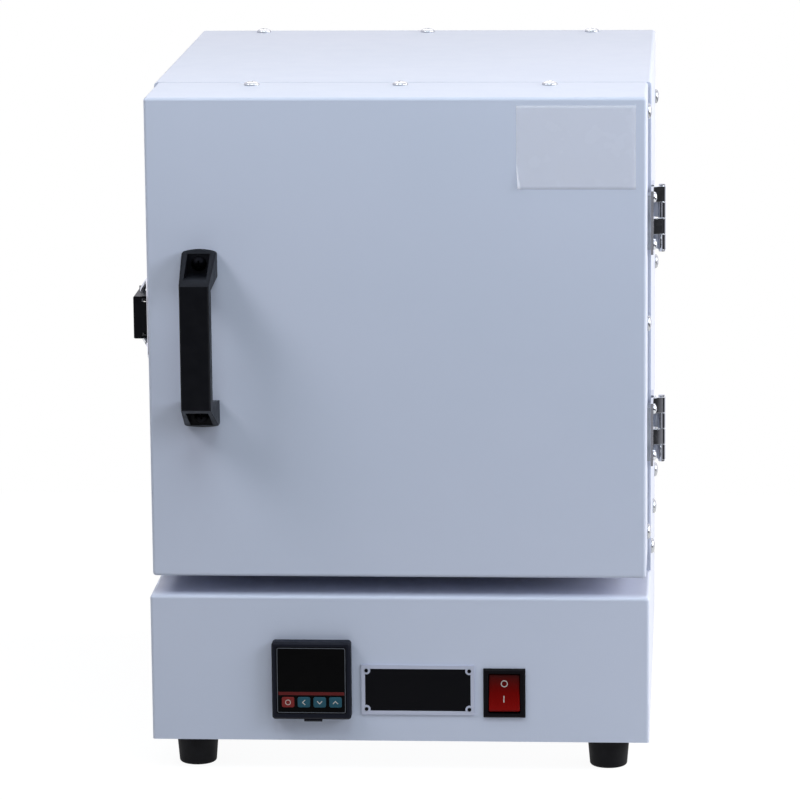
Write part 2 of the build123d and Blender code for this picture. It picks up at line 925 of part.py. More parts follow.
def controller_clip():
    """Frame behind the panel that clamps the controller."""
    inner = controller_body + 2 * cutout_gap
    outer = inner + 2 * clip_wall
    frame = Pos(controller_x, sheet + clip_depth / 2, controller_z) * Box(outer, clip_depth, outer)
    return frame - Pos(controller_x, sheet, controller_z) * Box(inner, 3 * clip_depth, inner)


def rocker_sector(radius, front, back):
    """Outline of the rocker seen from its side: an arc about its pivot between two planes."""
    band = Pos((back - front) / 2, 0) * Rectangle(front + back, 3 * radius)
    return Circle(radius) & band


def switch_housing():
    """Housing of the rocker switch, with its well and its two blades."""
    flange = block(
        switch_x - switch_width / 2, switch_x + switch_width / 2, -switch_flange, 0,
        switch_z - switch_height / 2, switch_z + switch_height / 2,
    )
    flange = chamfer(flange.faces().sort_by(Axis.Y)[0].edges(), switch_flange / 2)
    body = block(
        switch_x - switch_body_width / 2, switch_x + switch_body_width / 2, 0, switch_depth,
        switch_z - switch_body_height / 2, switch_z + switch_body_height / 2,
    )
    well_r = rocker_r + rocker_gap
    well = block(
        switch_x - rocker_width / 2 - rocker_gap, switch_x + rocker_width / 2 + rocker_gap,
        -switch_flange - over, rocker_pivot + well_r / 2, switch_z - well_r, switch_z + well_r,
    )
    housing = flange + body - well
    for z in (-blade_z, blade_z):
        blade = Box(blade_width, 2 * blade_length, blade_thick)
        blade = blade & Pos(0, blade_length / 2, 0) * Box(blade_width, blade_length, blade_thick)
        housing = housing + Pos(switch_x, switch_depth, switch_z + z) * blade
    return housing


def switch_rocker():
    """Red rocker, drawn level and then tipped to its off position."""
    outline = rocker_sector(rocker_r, rocker_front, rocker_back)
    rocker = extrude(Plane.YZ * outline, rocker_width / 2, both=True)
    hollow_r = (rocker_r**2 + rocker_hollow**2) / (2 * rocker_hollow)
    scoop = Rot(0, 90, 0) * Cylinder(hollow_r, 2 * rocker_width)
    rocker = rocker - Pos(0, rocker_hollow - rocker_front - hollow_r, 0) * scoop
    place = Location((switch_x, rocker_pivot, switch_z), (-rocker_tilt, 0, 0))
    return place * rocker


def nameplate():
    """Plate beside the controller, with a raised border, four bosses and a bare field."""
    plate = Pos(plate_x, -plate_thick / 2, plate_z) * Box(plate_width, plate_thick, plate_height)
    field_width = plate_width - 2 * plate_border
    field_height = plate_height - 2 * plate_border
    field = Pos(plate_x, -plate_thick, plate_z) * Box(field_width, 2 * plate_sink, field_height)
    field = drilled(field, rivet_places, plate_boss_r, hole_length)
    return drilled(plate - field, rivet_places, rivet_r + screw_gap, hole_length)


def nameplate_rivets():
    """Four drive rivets of the nameplate."""
    head = Pos(0, 0, rivet_head_h / 2) * Cylinder(rivet_head_r, rivet_head_h)
    head = fillet(head.edges().sort_by(Axis.Z)[-1], rivet_head_h / 2)
    rivet = head + Pos(0, 0, -rivet_length / 2) * Cylinder(rivet_r, rivet_length)
    return group([place * rivet for place in rivet_places])


def power_inlet():
    """Inlet for a removable mains lead, at the back of the control box."""
    y1 = depth + inlet_flange_thick
    flange = plate_y(inlet_x, depth, y1, inlet_z, inlet_flange_width, inlet_flange_height, inlet_corner)
    body = Pos(inlet_x, depth - inlet_body_depth / 2, inlet_z)
    body = body * Box(inlet_body_width, inlet_body_depth, inlet_body_height)
    well_width = inlet_body_width - 2 * inlet_wall
    well_height = inlet_body_height - 2 * inlet_wall
    well = Pos(inlet_x, y1, inlet_z) * Box(well_width, 2 * inlet_well, well_height)
    inlet = flange + body - well
    for x, z in inlet_pin_places():
        hole = Box(
            inlet_pin_width + 2 * inlet_pin_gap, 4 * inlet_body_depth, inlet_pin_height + 2 * inlet_pin_gap
        )
        inlet = inlet - Pos(x, depth, z) * hole
    return drilled(inlet, inlet_screw_places, round_hole_r, hole_length)


def inlet_pin_places():
    """Line, neutral and earth pins of the inlet."""
    pins = [(inlet_x + x, inlet_z - inlet_pin_z) for x in (-inlet_pin_x, inlet_pin_x)]
    return pins + [(inlet_x, inlet_z + inlet_pin_z)]


def inlet_pins():
    """Three flat pins, each with a tail behind the inlet."""
    y1 = depth + inlet_flange_thick - inlet_well + inlet_pin_reach
    y0 = depth - inlet_body_depth - inlet_pin_tail
    solids = []
    for x, z in inlet_pin_places():
        pin = Pos(x, (y0 + y1) / 2, z) * Box(inlet_pin_width, y1 - y0, inlet_pin_height)
        solids.append(fillet(pin.faces().sort_by(Axis.Y)[-1].edges(), inlet_pin_width / 4))
    return group(solids)


def heat_sink():
    """Finned block on the floor of the control box."""
    base = Box(sink_width, sink_length, sink_base)
    sink = Pos(sink_x, sink_y, floor_z + sink_fin_h + sink_base / 2) * base
    pitch = (sink_width - sink_fin) / (sink_fin_count - 1)
    for index in range(sink_fin_count):
        x = sink_x - sink_width / 2 + sink_fin / 2 + index * pitch
        sink = sink + Pos(x, sink_y, floor_z + sink_fin_h / 2) * Box(sink_fin, sink_length, sink_fin_h)
    return sink


def solid_state_relay():
    """Relay that switches the coils, on top of the heat sink."""
    low = floor_z + sink_fin_h + sink_base
    body = Pos(sink_x, sink_y, low + relay_height / 2) * Box(relay_width, relay_length, relay_height)
    return fillet(body.edges().filter_by(Axis.Z), relay_edge)


def terminal_block():
    """Ceramic block where the mains wires meet the coil wires."""
    body = Pos(block_x, block_y, floor_z + block_height / 2) * Box(block_width, block_length, block_height)
    for index in range(block_ways):
        y = block_y + (index - (block_ways - 1) / 2) * block_pitch
        way = Box(block_width + over, block_pitch / 2, block_height)
        body = body - Pos(block_x, y, floor_z + block_height) * way
    return body


# The door


def door_solid(x, y0, y1, z0, z1, radius):
    """Block with the edges of its front and its four corners rounded."""
    solid = block(-x, x, y0, y1, z0, z1)
    corners = solid.edges().filter_by(Axis.Y)
    return fillet(corners + solid.faces().sort_by(Axis.Y)[0].edges(), radius)


def door_shell():
    """Front of the door, folded back on all four sides."""
    outer = door_solid(door_half, 0, door_depth, door_z, top_z, bend)
    inner = door_solid(
        door_half - sheet, sheet, door_depth + over, door_z + sheet, top_z - sheet, bend - sheet
    )
    shell = drilled(outer - inner, door_screw_places, screw_hole_r, hole_length)
    shell = drilled(shell, door_leaf_places + keeper_screw_places, round_hole_r, hole_length)
    bores = [at("front", handle_x, 0, z) for z in handle_screw_z]
    return drilled(shell, bores, foot_screw_r + screw_gap, hole_length)


def door_inner_plate():
    """Plate that holds the brick in the door, folded forward on all four sides."""
    gap = sheet + sheet_gap
    inner = door_solid(
        door_half - gap, door_depth - frame_flange, door_depth, door_z + gap, top_z - gap, bend - sheet
    )
    x = door_half - gap - sheet
    hollow = block(
        -x, x, door_depth - frame_flange - over, door_depth - sheet,
        door_z + gap + sheet, top_z - gap - sheet,
    )
    hole = Pos(0, door_depth, body_mid_z) * Box(plug_hole_width, 4 * sheet, plug_hole_height)
    plate = drilled(inner - hollow - hole, door_screw_places, screw_hole_r, hole_length)
    return drilled(plate, door_leaf_places, round_hole_r, hole_length)


def door_brick():
    """Firebrick that fills the door, with a plug that enters the chamber's mouth."""
    x = door_half - sheet - brick_side_air
    low = door_z + sheet + brick_side_air
    high = top_z - sheet - brick_side_air
    body = block(-x, x, sheet, door_depth - sheet, low, high)
    y1 = seam_y + plug_reach
    plug = block(
        -plug_width / 2, plug_width / 2, door_depth - sheet, y1,
        body_mid_z - plug_height / 2, body_mid_z + plug_height / 2,
    )
    plug = fillet(plug.faces().sort_by(Axis.Y)[-1].edges(), plug_edge)
    solid = body + plug
    for z in handle_screw_z:
        solid = solid - bar_y(handle_x, z, 0, sheet + nut_h + lead_tail + over, handle_nut_air)
    return solid


def door_gasket():
    """Fibre seal on the back of the door, round the plug."""
    inner_width = plug_hole_width + 2 * gasket_inset
    inner_height = plug_hole_height + 2 * gasket_inset
    y1 = seam_y - gasket_gap
    outer = plate_y(
        0, door_depth, y1, body_mid_z,
        inner_width + 2 * gasket_width, inner_height + 2 * gasket_width, gasket_width,
    )
    return outer - Pos(0, door_depth, body_mid_z) * Box(inner_width, 4 * seam_gap, inner_height)


def door_screws():
    """Screws round the edge of the door."""
    return group([place * case_screw for place in door_screw_places])


def handle_outline(length, reach, slant):
    """Side view of the handle: a trapezium that is widest on the door."""
    rise = length / 2
    points = [(0, -rise), (-reach, slant - rise), (-reach, rise - slant), (0, rise)]
    return make_face(Polyline(*points, close=True))


def crowned_outline(width, length, crown, corner):
    """Upright rectangle with two slightly arched ends and rounded corners."""
    side = length / 2 - crown
    top = ThreePointArc((width / 2, side), (0, length / 2), (-width / 2, side))
    bottom = ThreePointArc((-width / 2, -side), (0, -length / 2), (width / 2, -side))
    left = Line((-width / 2, side), (-width / 2, -side))
    right = Line((width / 2, -side), (width / 2, side))
    outline = make_face([top, left, bottom, right])
    return fillet(outline.vertices(), corner)


def handle():
    """Plastic pull handle: a straight grip on two slanted legs with screw pockets."""
    side = handle_outline(handle_length, handle_reach, handle_slant)
    gap_reach = handle_reach - grip_thick
    gap_length = handle_length - 2 * handle_leg
    gap = Pos(over, 0) * handle_outline(gap_length, gap_reach + over, handle_gap_slant)
    solid = extrude(Plane.YZ * (side - gap), handle_base_width, both=True)
    taper = make_face(Polyline(
        (-handle_base_width / 2, 0), (handle_base_width / 2, 0),
        (grip_width / 2, -handle_reach), (-grip_width / 2, -handle_reach), close=True,
    ))
    solid = solid & extrude(taper, handle_length, both=True)
    front = crowned_outline(handle_base_width, handle_length, handle_crown, handle_corner)
    solid = solid & extrude(Plane.XZ * front, handle_reach + over, both=True)
    upright = solid.edges().filter_by(Axis.Z)
    solid = fillet(upright.filter_by(lambda edge: edge.center().Y < over - handle_reach), grip_edge)
    pocket_z0 = handle_length / 2 - handle_leg + pocket_wall
    pocket_z1 = handle_length / 2 - pocket_wall
    for sign in (-1, 1):
        edges = sorted((sign * pocket_z0, sign * pocket_z1))
        pocket = block(
            -pocket_width / 2, pocket_width / 2, -handle_reach - over, -pocket_floor, edges[0], edges[1]
        )
        solid = solid - pocket
        hole = at("front", 0, -pocket_floor, sign * handle_screw_rise)
        solid = drilled(solid, [hole], foot_screw_r + screw_gap, hole_length)
    return Pos(handle_x, 0, handle_z) * solid


def handle_screws():
    """Screws and nuts of the handle."""
    length = pocket_floor + sheet + nut_h + lead_tail
    screw = domed_screw(foot_head_r, foot_head_h, foot_screw_r, length)
    nut = hexagon_nut(nut_r, nut_h, foot_screw_r + screw_gap)
    solids = []
    for z in handle_screw_z:
        solids.append(at("front", handle_x, -pocket_floor, z) * screw)
        solids.append(at("back", handle_x, sheet, z) * nut)
    return group(solids)


# The hinges


def knuckle_z(middle, index):
    """Lowest and highest point of one knuckle, counted from the bottom."""
    low = middle - leaf_height / 2 + index * (knuckle_height + knuckle_gap)
    return low, low + knuckle_height


def hinge_leaf(middle, back, first):
    """Leaf beside the seam, with every second knuckle; back is 1 on the body and -1 on the door."""
    y0 = hinge_y + back * leaf_start
    y1 = hinge_y + back * (leaf_start + leaf_length)
    leaf = Box(leaf_thick, leaf_length, leaf_height)
    leaf = Pos(half + leaf_thick / 2, (y0 + y1) / 2, middle) * leaf
    web_start = Vector(half + leaf_thick / 2, y0)
    web_end = Vector(hinge_x, hinge_y + back * (knuckle_r - leaf_thick / 2))
    across = (web_end - web_start).normalized().rotate(Axis.Z, 90) * (leaf_thick / 2)
    corners = [web_start + across, web_end + across, web_end - across, web_start - across]
    web = make_face(Polyline(*corners, close=True))
    heel = Location((half + leaf_thick / 2, y0)) * Circle(leaf_thick / 2)
    barrel = Location((hinge_x, hinge_y)) * Circle(knuckle_r)
    outline = web + barrel
    for index in range(first, knuckle_count, 2):
        low, high = knuckle_z(middle, index)
        leaf = leaf + Pos(0, 0, low) * extrude(outline, high - low)
        leaf = leaf + Pos(0, 0, low) * extrude(heel, high - low)
    bore = tube_z(hinge_x, hinge_y, middle - leaf_height, middle + leaf_height, hinge_pin_r + hinge_pin_gap)
    return leaf - bore


def body_hinge_leaves():
    """Leaves screwed to the body."""
    leaves = [hinge_leaf(middle, 1, 0) for middle in hinge_z]
    return group([drilled(leaf, body_leaf_places, round_hole_r, hole_length) for leaf in leaves])


def door_hinge_leaves():
    """Leaves screwed to the door."""
    leaves = [hinge_leaf(middle, -1, 1) for middle in hinge_z]
    return group([drilled(leaf, door_leaf_places, round_hole_r, hole_length) for leaf in leaves])


def hinge_pins():
    """Pins of the hinges, headed at both ends."""
    solids = []
    for middle in hinge_z:
        low = middle - leaf_height / 2 - knuckle_gap
        high = middle + leaf_height / 2 + knuckle_gap
        pin = tube_z(hinge_x, hinge_y, low, high, hinge_pin_r)
        pin = pin + tube_z(hinge_x, hinge_y, low - hinge_pin_head_h, low, hinge_pin_head_r)
        pin = pin + tube_z(hinge_x, hinge_y, high, high + hinge_pin_head_h, hinge_pin_head_r)
        solids.append(pin)
    return group(solids)


def hinge_spacers():
    """Plates that bring the door's leaves level with the side of the body."""
    solids = []
    for middle in hinge_z:
        y1 = hinge_y - leaf_start - spacer_margin / 2
        y0 = hinge_y - leaf_start - leaf_length + spacer_margin / 2
        rise = leaf_height / 2 - spacer_margin
        spacer = block(door_half, half, y0, y1, middle - rise, middle + rise)
        solids.append(drilled(spacer, door_leaf_places, round_hole_r, hole_length))
    return group(solids)


def body_fitting_screws():
    """Round-head screws of the hinges and of the latch on the body."""
    return group([place * round_screw for place in body_leaf_places + latch_screw_places])


def door_fitting_screws():
    """Round-head screws of the hinges and of the keeper on the door."""
    return group([place * round_screw for place in door_leaf_places + keeper_screw_places])


# The latch is drawn with X as the distance out from the body's side and Y back from the seam

def on_left_side(part):
    """The part turned over to the left side of the body, at the height of the latch."""
    flipped = mirror(part, about=Plane.YZ)
    return Pos(-half, seam_y, latch_z) * flipped


def latch_base():
    """Plate on the body with two ears that carry the lever."""
    plate = block(
        0, latch_plate, latch_plate_front, latch_plate_back, -latch_plate_half, latch_plate_half
    )
    plate = fillet(plate.edges().filter_by(Axis.X), bend)
    ear = Location((latch_pivot_out, latch_pivot_back)) * Circle(ear_r)
    foot = Pos(latch_pivot_out / 2, latch_pivot_back) * Rectangle(latch_pivot_out, 2 * ear_r)
    outline = ear + foot
    for low in (-ear_z, ear_z - ear_thick):
        plate = plate + Pos(0, 0, low) * extrude(outline, ear_thick)
    bore = tube_z(latch_pivot_out, latch_pivot_back, -lever_half, lever_half, latch_pin_r + latch_pin_gap)
    placed = on_left_side(plate - bore)
    return drilled(placed, latch_screw_places, round_hole_r, hole_length)


def latch_pin():
    """Pivot of the lever."""
    end = lever_half + latch_pin_end
    return on_left_side(tube_z(latch_pivot_out, latch_pivot_back, -end, end, latch_pin_r))


def latch_lever():
    """Plastic lever: a flat back with a turned-out lip, two cheeks and a nose round the ears."""
    inner_out = lever_out - lever_skin
    skin = [
        (inner_out, lever_front),
        (inner_out, lever_back - lever_lip),
        (lever_out, lever_back),
        (lever_out + lever_skin / 2, lever_back - lever_skin / 2),
        (lever_out, lever_back - lever_lip),
        (lever_out, lever_front),
    ]
    back = extrude(make_face(Polyline(*skin, close=True)), lever_half, both=True)
    along = back.edges().filter_by(Axis.Y)
    back = fillet(along.filter_by(lambda edge: edge.center().X > lever_out - over), lever_edge)
    low_out = latch_pivot_out - cheek_reach
    cheek = [
        (inner_out, lever_front),
        (latch_pivot_out, latch_pivot_back - cheek_reach),
        (low_out, latch_pivot_back),
        (low_out, bail_pivot_back),
        (inner_out, cheek_back),
    ]
    outline = make_face(Polyline(*cheek, close=True))
    lever = back
    for low in (-lever_half, lever_half - lever_cheek):
        lever = lever + Pos(0, 0, low) * extrude(outline, lever_cheek)
    nose_out = latch_pivot_out + ear_r + nose_gap
    lever = lever + block(nose_out, inner_out, lever_front, nose_back, -lever_half, lever_half)
    tongue_half = ear_z - ear_thick - nose_gap
    tongue_out = latch_pivot_out - nose_reach
    lever = lever + block(tongue_out, nose_out, lever_front, nose_back, -tongue_half, tongue_half)
    reach = lever_half + over
    lever = lever - tube_z(latch_pivot_out, latch_pivot_back, -reach, reach, latch_pin_r + latch_pin_gap)
    lever = lever - tube_z(bail_pivot_out, bail_pivot_back, -reach, reach, bail_wire_r + bail_hole_gap)
    return on_left_side(lever)


def latch_bail():
    """Wire loop from the lever round the keeper's hook, spread beside the lever."""
    end = lever_half - lever_cheek
    shoulder = lever_half + bail_shoulder
    points = [
        (bail_pivot_out, bail_pivot_back, -end),
        (bail_pivot_out, bail_pivot_back, -shoulder),
        (bail_arm_out, bail_pivot_back, -bail_arm_z),
        (bail_hook_out, -bail_hook_front, -bail_arm_z),
        (bail_hook_out, -bail_hook_front, bail_arm_z),
        (bail_arm_out, bail_pivot_back, bail_arm_z),
        (bail_pivot_out, bail_pivot_back, shoulder),
        (bail_pivot_out, bail_pivot_back, end),
    ]
    path = FilletPolyline(*points, radius=bail_corner)
    section = Plane(path @ 0, z_dir=path % 0) * Circle(bail_wire_r)
    return on_left_side(sweep(section, path=path))


def latch_keeper():
    """Strike plate on the door, with the hook that the bail pulls on."""
    face = latch_plate - door_side_step
    plate = block(
        -door_side_step, face, -keeper_front, -keeper_back, -keeper_half, keeper_half
    )
    plate = fillet(plate.edges().filter_by(Axis.X), bend)
    tip = bail_hook_out - bail_wire_r - hook_gap
    wall = block(face, tip, -hook_back - hook_thick, -hook_back, -hook_half, hook_half)
    lip = block(tip - hook_thick, tip, -bail_hook_front, -hook_back, -hook_half, hook_half)
    placed = on_left_side(plate + wall + lip)
    return drilled(placed, keeper_screw_places, round_hole_r, hole_length)


nodes = {
    "body_wrap": body_wrap(),
    "front_frame": front_frame(),
    "rear_panel": rear_panel(),
    "mid_plate": mid_plate(),
    "control_box_shell": control_box_shell(),
    "control_rear_panel": control_rear_panel(),
    "base_plate": base_plate(),
    "rubber_feet": rubber_feet(),
    "foot_screws": foot_screws(),
    "case_screws": case_screws(),
    "bottom_board": bottom_board(),
    "top_board": top_board(),
    "side_boards": side_boards(),
    "rear_board": rear_board(),
    "rear_brick": rear_brick(),
    "roof_brick": roof_brick(),
    "hearth_brick": hearth_brick(),
    "heater_bricks": heater_bricks(),
    "side_heating_coils": group([coil(left_face), coil(right_face)]),
    "floor_heating_coil": coil(floor_face),
    "coil_terminals": coil_terminals(),
    "honeycomb_pad": honeycomb_pad(),
    "thermocouple_sheath": thermocouple_sheath(),
    "thermocouple_head": thermocouple_head(),
    "vent_tube": vent_tube(),
    "controller_housing": controller_housing(),
    "controller_window": controller_window(),
    "controller_clip": controller_clip(),
    "key_set": key(0),
    "key_shift": key(1),
    "key_down": key(2),
    "key_up": key(3),
    "switch_housing": switch_housing(),
    "switch_rocker": switch_rocker(),
    "nameplate": nameplate(),
    "nameplate_rivets": nameplate_rivets(),
    "power_inlet": power_inlet(),
    "inlet_pins": inlet_pins(),
    "inlet_screws": group([place * round_screw for place in inlet_screw_places]),
    "heat_sink": heat_sink(),
    "solid_state_relay": solid_state_relay(),
    "terminal_block": terminal_block(),
    "door_shell": door_shell(),
    "door_inner_plate": door_inner_plate(),
    "door_brick": door_brick(),
    "door_gasket": door_gasket(),
    "door_screws": door_screws(),
    "handle": handle(),
    "handle_screws": handle_screws(),
    "body_hinge_leaves": body_hinge_leaves(),
    "door_hinge_leaves": door_hinge_leaves(),
    "hinge_pins": hinge_pins(),
    "hinge_spacers": hinge_spacers(),
    "body_fitting_screws": body_fitting_screws(),
    "door_fitting_screws": door_fitting_screws(),
    "latch_base": latch_base(),
    "latch_pin": latch_pin(),
    "latch_lever": latch_lever(),
    "latch_bail": latch_bail(),
    "latch_keeper": latch_keeper(),
}

# The furnace is moved so that its origin is under the middle of its enclosing box
boxes = [solid.bounding_box() for solid in nodes.values()]
left_x = min(box.min.X for box in boxes)
right_x = max(box.max.X for box in boxes)
front_y = min(box.min.Y for box in boxes)
back_y = max(box.max.Y for box in boxes)
high_z = max(box.max.Z for box in boxes)
shift = Pos(-(left_x + right_x) / 2, -(front_y + back_y) / 2, 0)

os.makedirs("parts", exist_ok=True)
for name, solid in nodes.items():
    export_step(shift * solid, f"parts/{name}.step")
print(f"{len(nodes)} nodes, shift {shift.position.X:.3f}, {shift.position.Y:.3f}")
print(f"box {right_x - left_x:.2f} x {back_y - front_y:.2f} x {high_z:.2f}")
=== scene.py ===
# %% [markdown]
# A bench-top burnout furnace: a sheet-steel case with a firebrick chamber, a brick-filled door on
# two butt hinges, a toggle latch, and a control box underneath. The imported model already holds
# every sheet, brick, screw and lever in its place, in metres. This lesson keeps those that have
# the right shape, gives them real finishes, and rebuilds the ones whose looks need more than a
# plain solid has.

# %% Load the frame
import json
import math

import bmesh
import bpy
from mathutils import Matrix, Vector
from mathutils.bvhtree import BVHTree

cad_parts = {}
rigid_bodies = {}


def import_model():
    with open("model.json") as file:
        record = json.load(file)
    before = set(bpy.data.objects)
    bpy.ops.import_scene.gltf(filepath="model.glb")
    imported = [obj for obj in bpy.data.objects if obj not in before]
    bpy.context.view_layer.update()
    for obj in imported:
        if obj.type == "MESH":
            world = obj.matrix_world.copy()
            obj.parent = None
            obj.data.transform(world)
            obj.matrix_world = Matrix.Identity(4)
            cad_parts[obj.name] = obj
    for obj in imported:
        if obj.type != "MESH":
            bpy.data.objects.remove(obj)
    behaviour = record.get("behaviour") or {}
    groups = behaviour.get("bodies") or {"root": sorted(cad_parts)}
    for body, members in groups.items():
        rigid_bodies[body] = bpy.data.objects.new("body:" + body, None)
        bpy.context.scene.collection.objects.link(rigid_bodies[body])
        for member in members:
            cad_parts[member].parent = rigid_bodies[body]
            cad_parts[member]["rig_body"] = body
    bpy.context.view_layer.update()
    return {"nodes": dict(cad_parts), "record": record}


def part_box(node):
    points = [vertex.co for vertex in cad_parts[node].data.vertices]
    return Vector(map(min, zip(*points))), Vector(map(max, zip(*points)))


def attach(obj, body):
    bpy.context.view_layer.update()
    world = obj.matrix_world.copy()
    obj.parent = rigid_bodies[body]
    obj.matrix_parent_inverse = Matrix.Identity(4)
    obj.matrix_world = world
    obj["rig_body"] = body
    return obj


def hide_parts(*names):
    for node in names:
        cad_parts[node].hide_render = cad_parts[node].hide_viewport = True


for leftover in list(bpy.data.objects):
    bpy.data.objects.remove(leftover)
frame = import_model()
nodes = frame["nodes"]
slot_of = {part["node"]: part["material_slot"] for part in frame["record"]["subparts"]}
mm = 0.001

# %% [markdown]
# The photograph was taken with a long lens, a little above the top of the furnace and a little to
# its right. The camera's place and turn come from matching corners and screws of the real
# furnace with the same points of the model, so an even, long lens with no shift is enough.


# %% Camera
def add_object(name, data):
    """New object in the scene, made of a camera, a lamp or a mesh."""
    added = bpy.data.objects.new(name, data)
    bpy.context.scene.collection.objects.link(added)
    return added


camera_turn = (78.7625, 0.53485, 3.71574)
camera_data = bpy.data.cameras.new("Photo camera")
camera_data.sensor_width = 36.0
camera_data.lens = 201.09
camera_data.clip_end = 50.0
camera = add_object("Photo camera", camera_data)
camera.location = (0.18099, -2.77797, 0.75168)
camera.rotation_euler = [math.radians(angle) for angle in camera_turn]
bpy.context.scene.camera = camera
bpy.context.scene.view_settings.view_transform = "Standard"
print("lens", camera_data.lens, "mm")

# %% [markdown]
# World, floor and finishes are all made of nodes. These tools add a node with its values, fill a
# colour ramp, and build the two joins that the room needs: one that tells if a ray is of either of
# two kinds, and one that shows such rays another shader than the rest.


# %% Tools for nodes
def set_sockets(node, **values):
    """Sets sockets of a node; a socket's name is given with underscores for its spaces."""
    for socket, value in values.items():
        node.inputs[socket.replace("_", " ")].default_value = value


def add_node(tree, kind, **values):
    """New node of a kind, with some of its sockets set."""
    added = tree.nodes.new("ShaderNode" + kind)
    set_sockets(added, **values)
    return added


def fill_ramp(ramp, stops):
    """Sets the stops of a colour ramp, each given as its place and its colour."""
    steps = ramp.color_ramp.elements
    while len(steps) < len(stops):
        steps.new(0.5)
    for step, (place, colour) in zip(steps, stops):
        step.position = place
        step.color = colour


def either(tree, first, second):
    """The larger of two values, which is 1 for a ray of either kind."""
    larger = add_node(tree, "Math")
    larger.operation = "MAXIMUM"
    tree.links.new(first, larger.inputs[0])
    tree.links.new(second, larger.inputs[1])
    return larger.outputs["Value"]


def mixed(tree, share, first, second):
    """Mix of two shaders, which is all second where the share is 1."""
    mix = add_node(tree, "MixShader")
    tree.links.new(share, mix.inputs["Fac"])
    tree.links.new(first, mix.inputs[1])
    tree.links.new(second, mix.inputs[2])
    return mix.outputs["Shader"]


print("node tools ready")

# %% [markdown]
# A product studio is a white room with large soft lamps. The world gives the even part of the
# light. What the camera, the metal and the glass see of it is white, apart from what mirrors show
# low down in front, where a real studio has its unlit floor beyond the pale sheet. That stretch is
# what gives chrome its dark bands.


# %% World
def make_world(strength, colour, dark_side, wall_greys):
    """Even light for the room, and a white room with a dark low side for mirrors to show."""
    world = bpy.data.worlds.new("White studio")
    world.use_nodes = True
    tree = world.node_tree
    tree.nodes.clear()
    link = tree.links.new
    even = add_node(tree, "Background", Color=colour, Strength=strength)
    seen = add_node(tree, "Background", Color=(1.0, 1.0, 1.0, 1.0))
    mirrored = add_node(tree, "Background")
    direction = add_node(tree, "TexCoord")
    towards = add_node(tree, "VectorMath")
    towards.operation = "DOT_PRODUCT"
    towards.inputs[1].default_value = Vector(dark_side).normalized()
    walls = add_node(tree, "ValToRGB")
    blueness = 1.1
    fill_ramp(walls, [(place, (grey, grey, grey * blueness, 1.0)) for place, grey in wall_greys])
    link(direction.outputs["Generated"], towards.inputs[0])
    link(towards.outputs["Value"], walls.inputs["Fac"])
    link(walls.outputs["Color"], mirrored.inputs["Color"])
    rays = add_node(tree, "LightPath").outputs
    clear = either(tree, rays["Is Camera Ray"], rays["Is Transmission Ray"])
    even, mirrored = even.outputs["Background"], mirrored.outputs["Background"]
    room = mixed(tree, rays["Is Glossy Ray"], even, mirrored)
    shown = mixed(tree, clear, room, seen.outputs["Background"])
    link(shown, add_node(tree, "OutputWorld").inputs["Surface"])
    return world


# each pair: how far a direction leans to the dark side, and how light the wall is there
wall_greys = [(0.04, 1.0), (0.2, 0.03), (0.46, 0.03), (0.49, 0.3)]
bpy.context.scene.world = make_world(
    strength=0.14, colour=(0.9, 0.95, 1.0, 1.0), dark_side=(0.0, -0.35, -0.93),
    wall_greys=wall_greys,
)
print("world", bpy.context.scene.world.name)

# %% [markdown]
# One wide lamp hangs behind the furnace, over its top, which makes the top the brightest side. The
# next one hangs close in front and above, so the door gets darker from its top down. Two smaller
# ones stand on both sides in front: the right one lifts the door's hinge side, and the left one
# makes the handle throw a soft shadow down to the right. The last one lights the narrow strip of
# the right side and the hinges without touching the front.


# %% Lamps
def hang_lamp(name, place, target, size, power, colour):
    """Square soft lamp at a place in metres, turned to a target; its power is in watts."""
    data = bpy.data.lights.new(name, "AREA")
    data.shape = "SQUARE"
    data.size = size
    data.energy = power
    data.color = colour
    lamp = add_object(name, data)
    lamp.location = place
    turn = (Vector(target) - Vector(place)).to_track_quat("-Z", "Y")
    lamp.rotation_euler = turn.to_euler()
    return lamp


top, right_side = (0.0, 0.1, 0.4), (0.15, 0.0, 0.25)
door_upper, door_middle = (0.0, -0.16, 0.35), (0.0, -0.16, 0.3)
lamps = [
    hang_lamp("Softbox behind", (0.0, 0.75, 1.2), top, 1.0, 3.6, (1.0, 0.95, 0.84)),
    hang_lamp("Softbox front", (0.05, -0.66, 1.15), door_upper, 0.6, 4.1, (0.78, 0.93, 1.0)),
    hang_lamp("Softbox front right", (1.0, -0.7, 0.75), door_middle, 0.6, 6.6, (0.8, 0.89, 1.0)),
    hang_lamp("Softbox left", (-0.8, -0.65, 1.1), door_middle, 0.4, 5.0, (0.92, 0.95, 1.0)),
    hang_lamp("Softbox right", (1.25, 0.1, 0.6), right_side, 0.7, 11.5, (1.0, 0.98, 0.92)),
]
print(len(lamps), "lamps")

# %% [markdown]
# The floor is a plain pale sheet. What the camera and the metal see of it is mostly its own white,
# and on top of that some of the light of the lamps, which keeps the soft shadow under the feet. To
# the light that falls on the furnace it only gives back what a pale sheet would.


# %% Floor
def as_mesh(shape, name, outward=False):
    """Turns a shape under construction into a mesh, with its faces turned outward if asked."""
    if outward:
        bmesh.ops.recalc_face_normals(shape, faces=shape.faces[:])
    mesh = bpy.data.meshes.new(name)
    shape.to_mesh(mesh)
    shape.free()
    return mesh


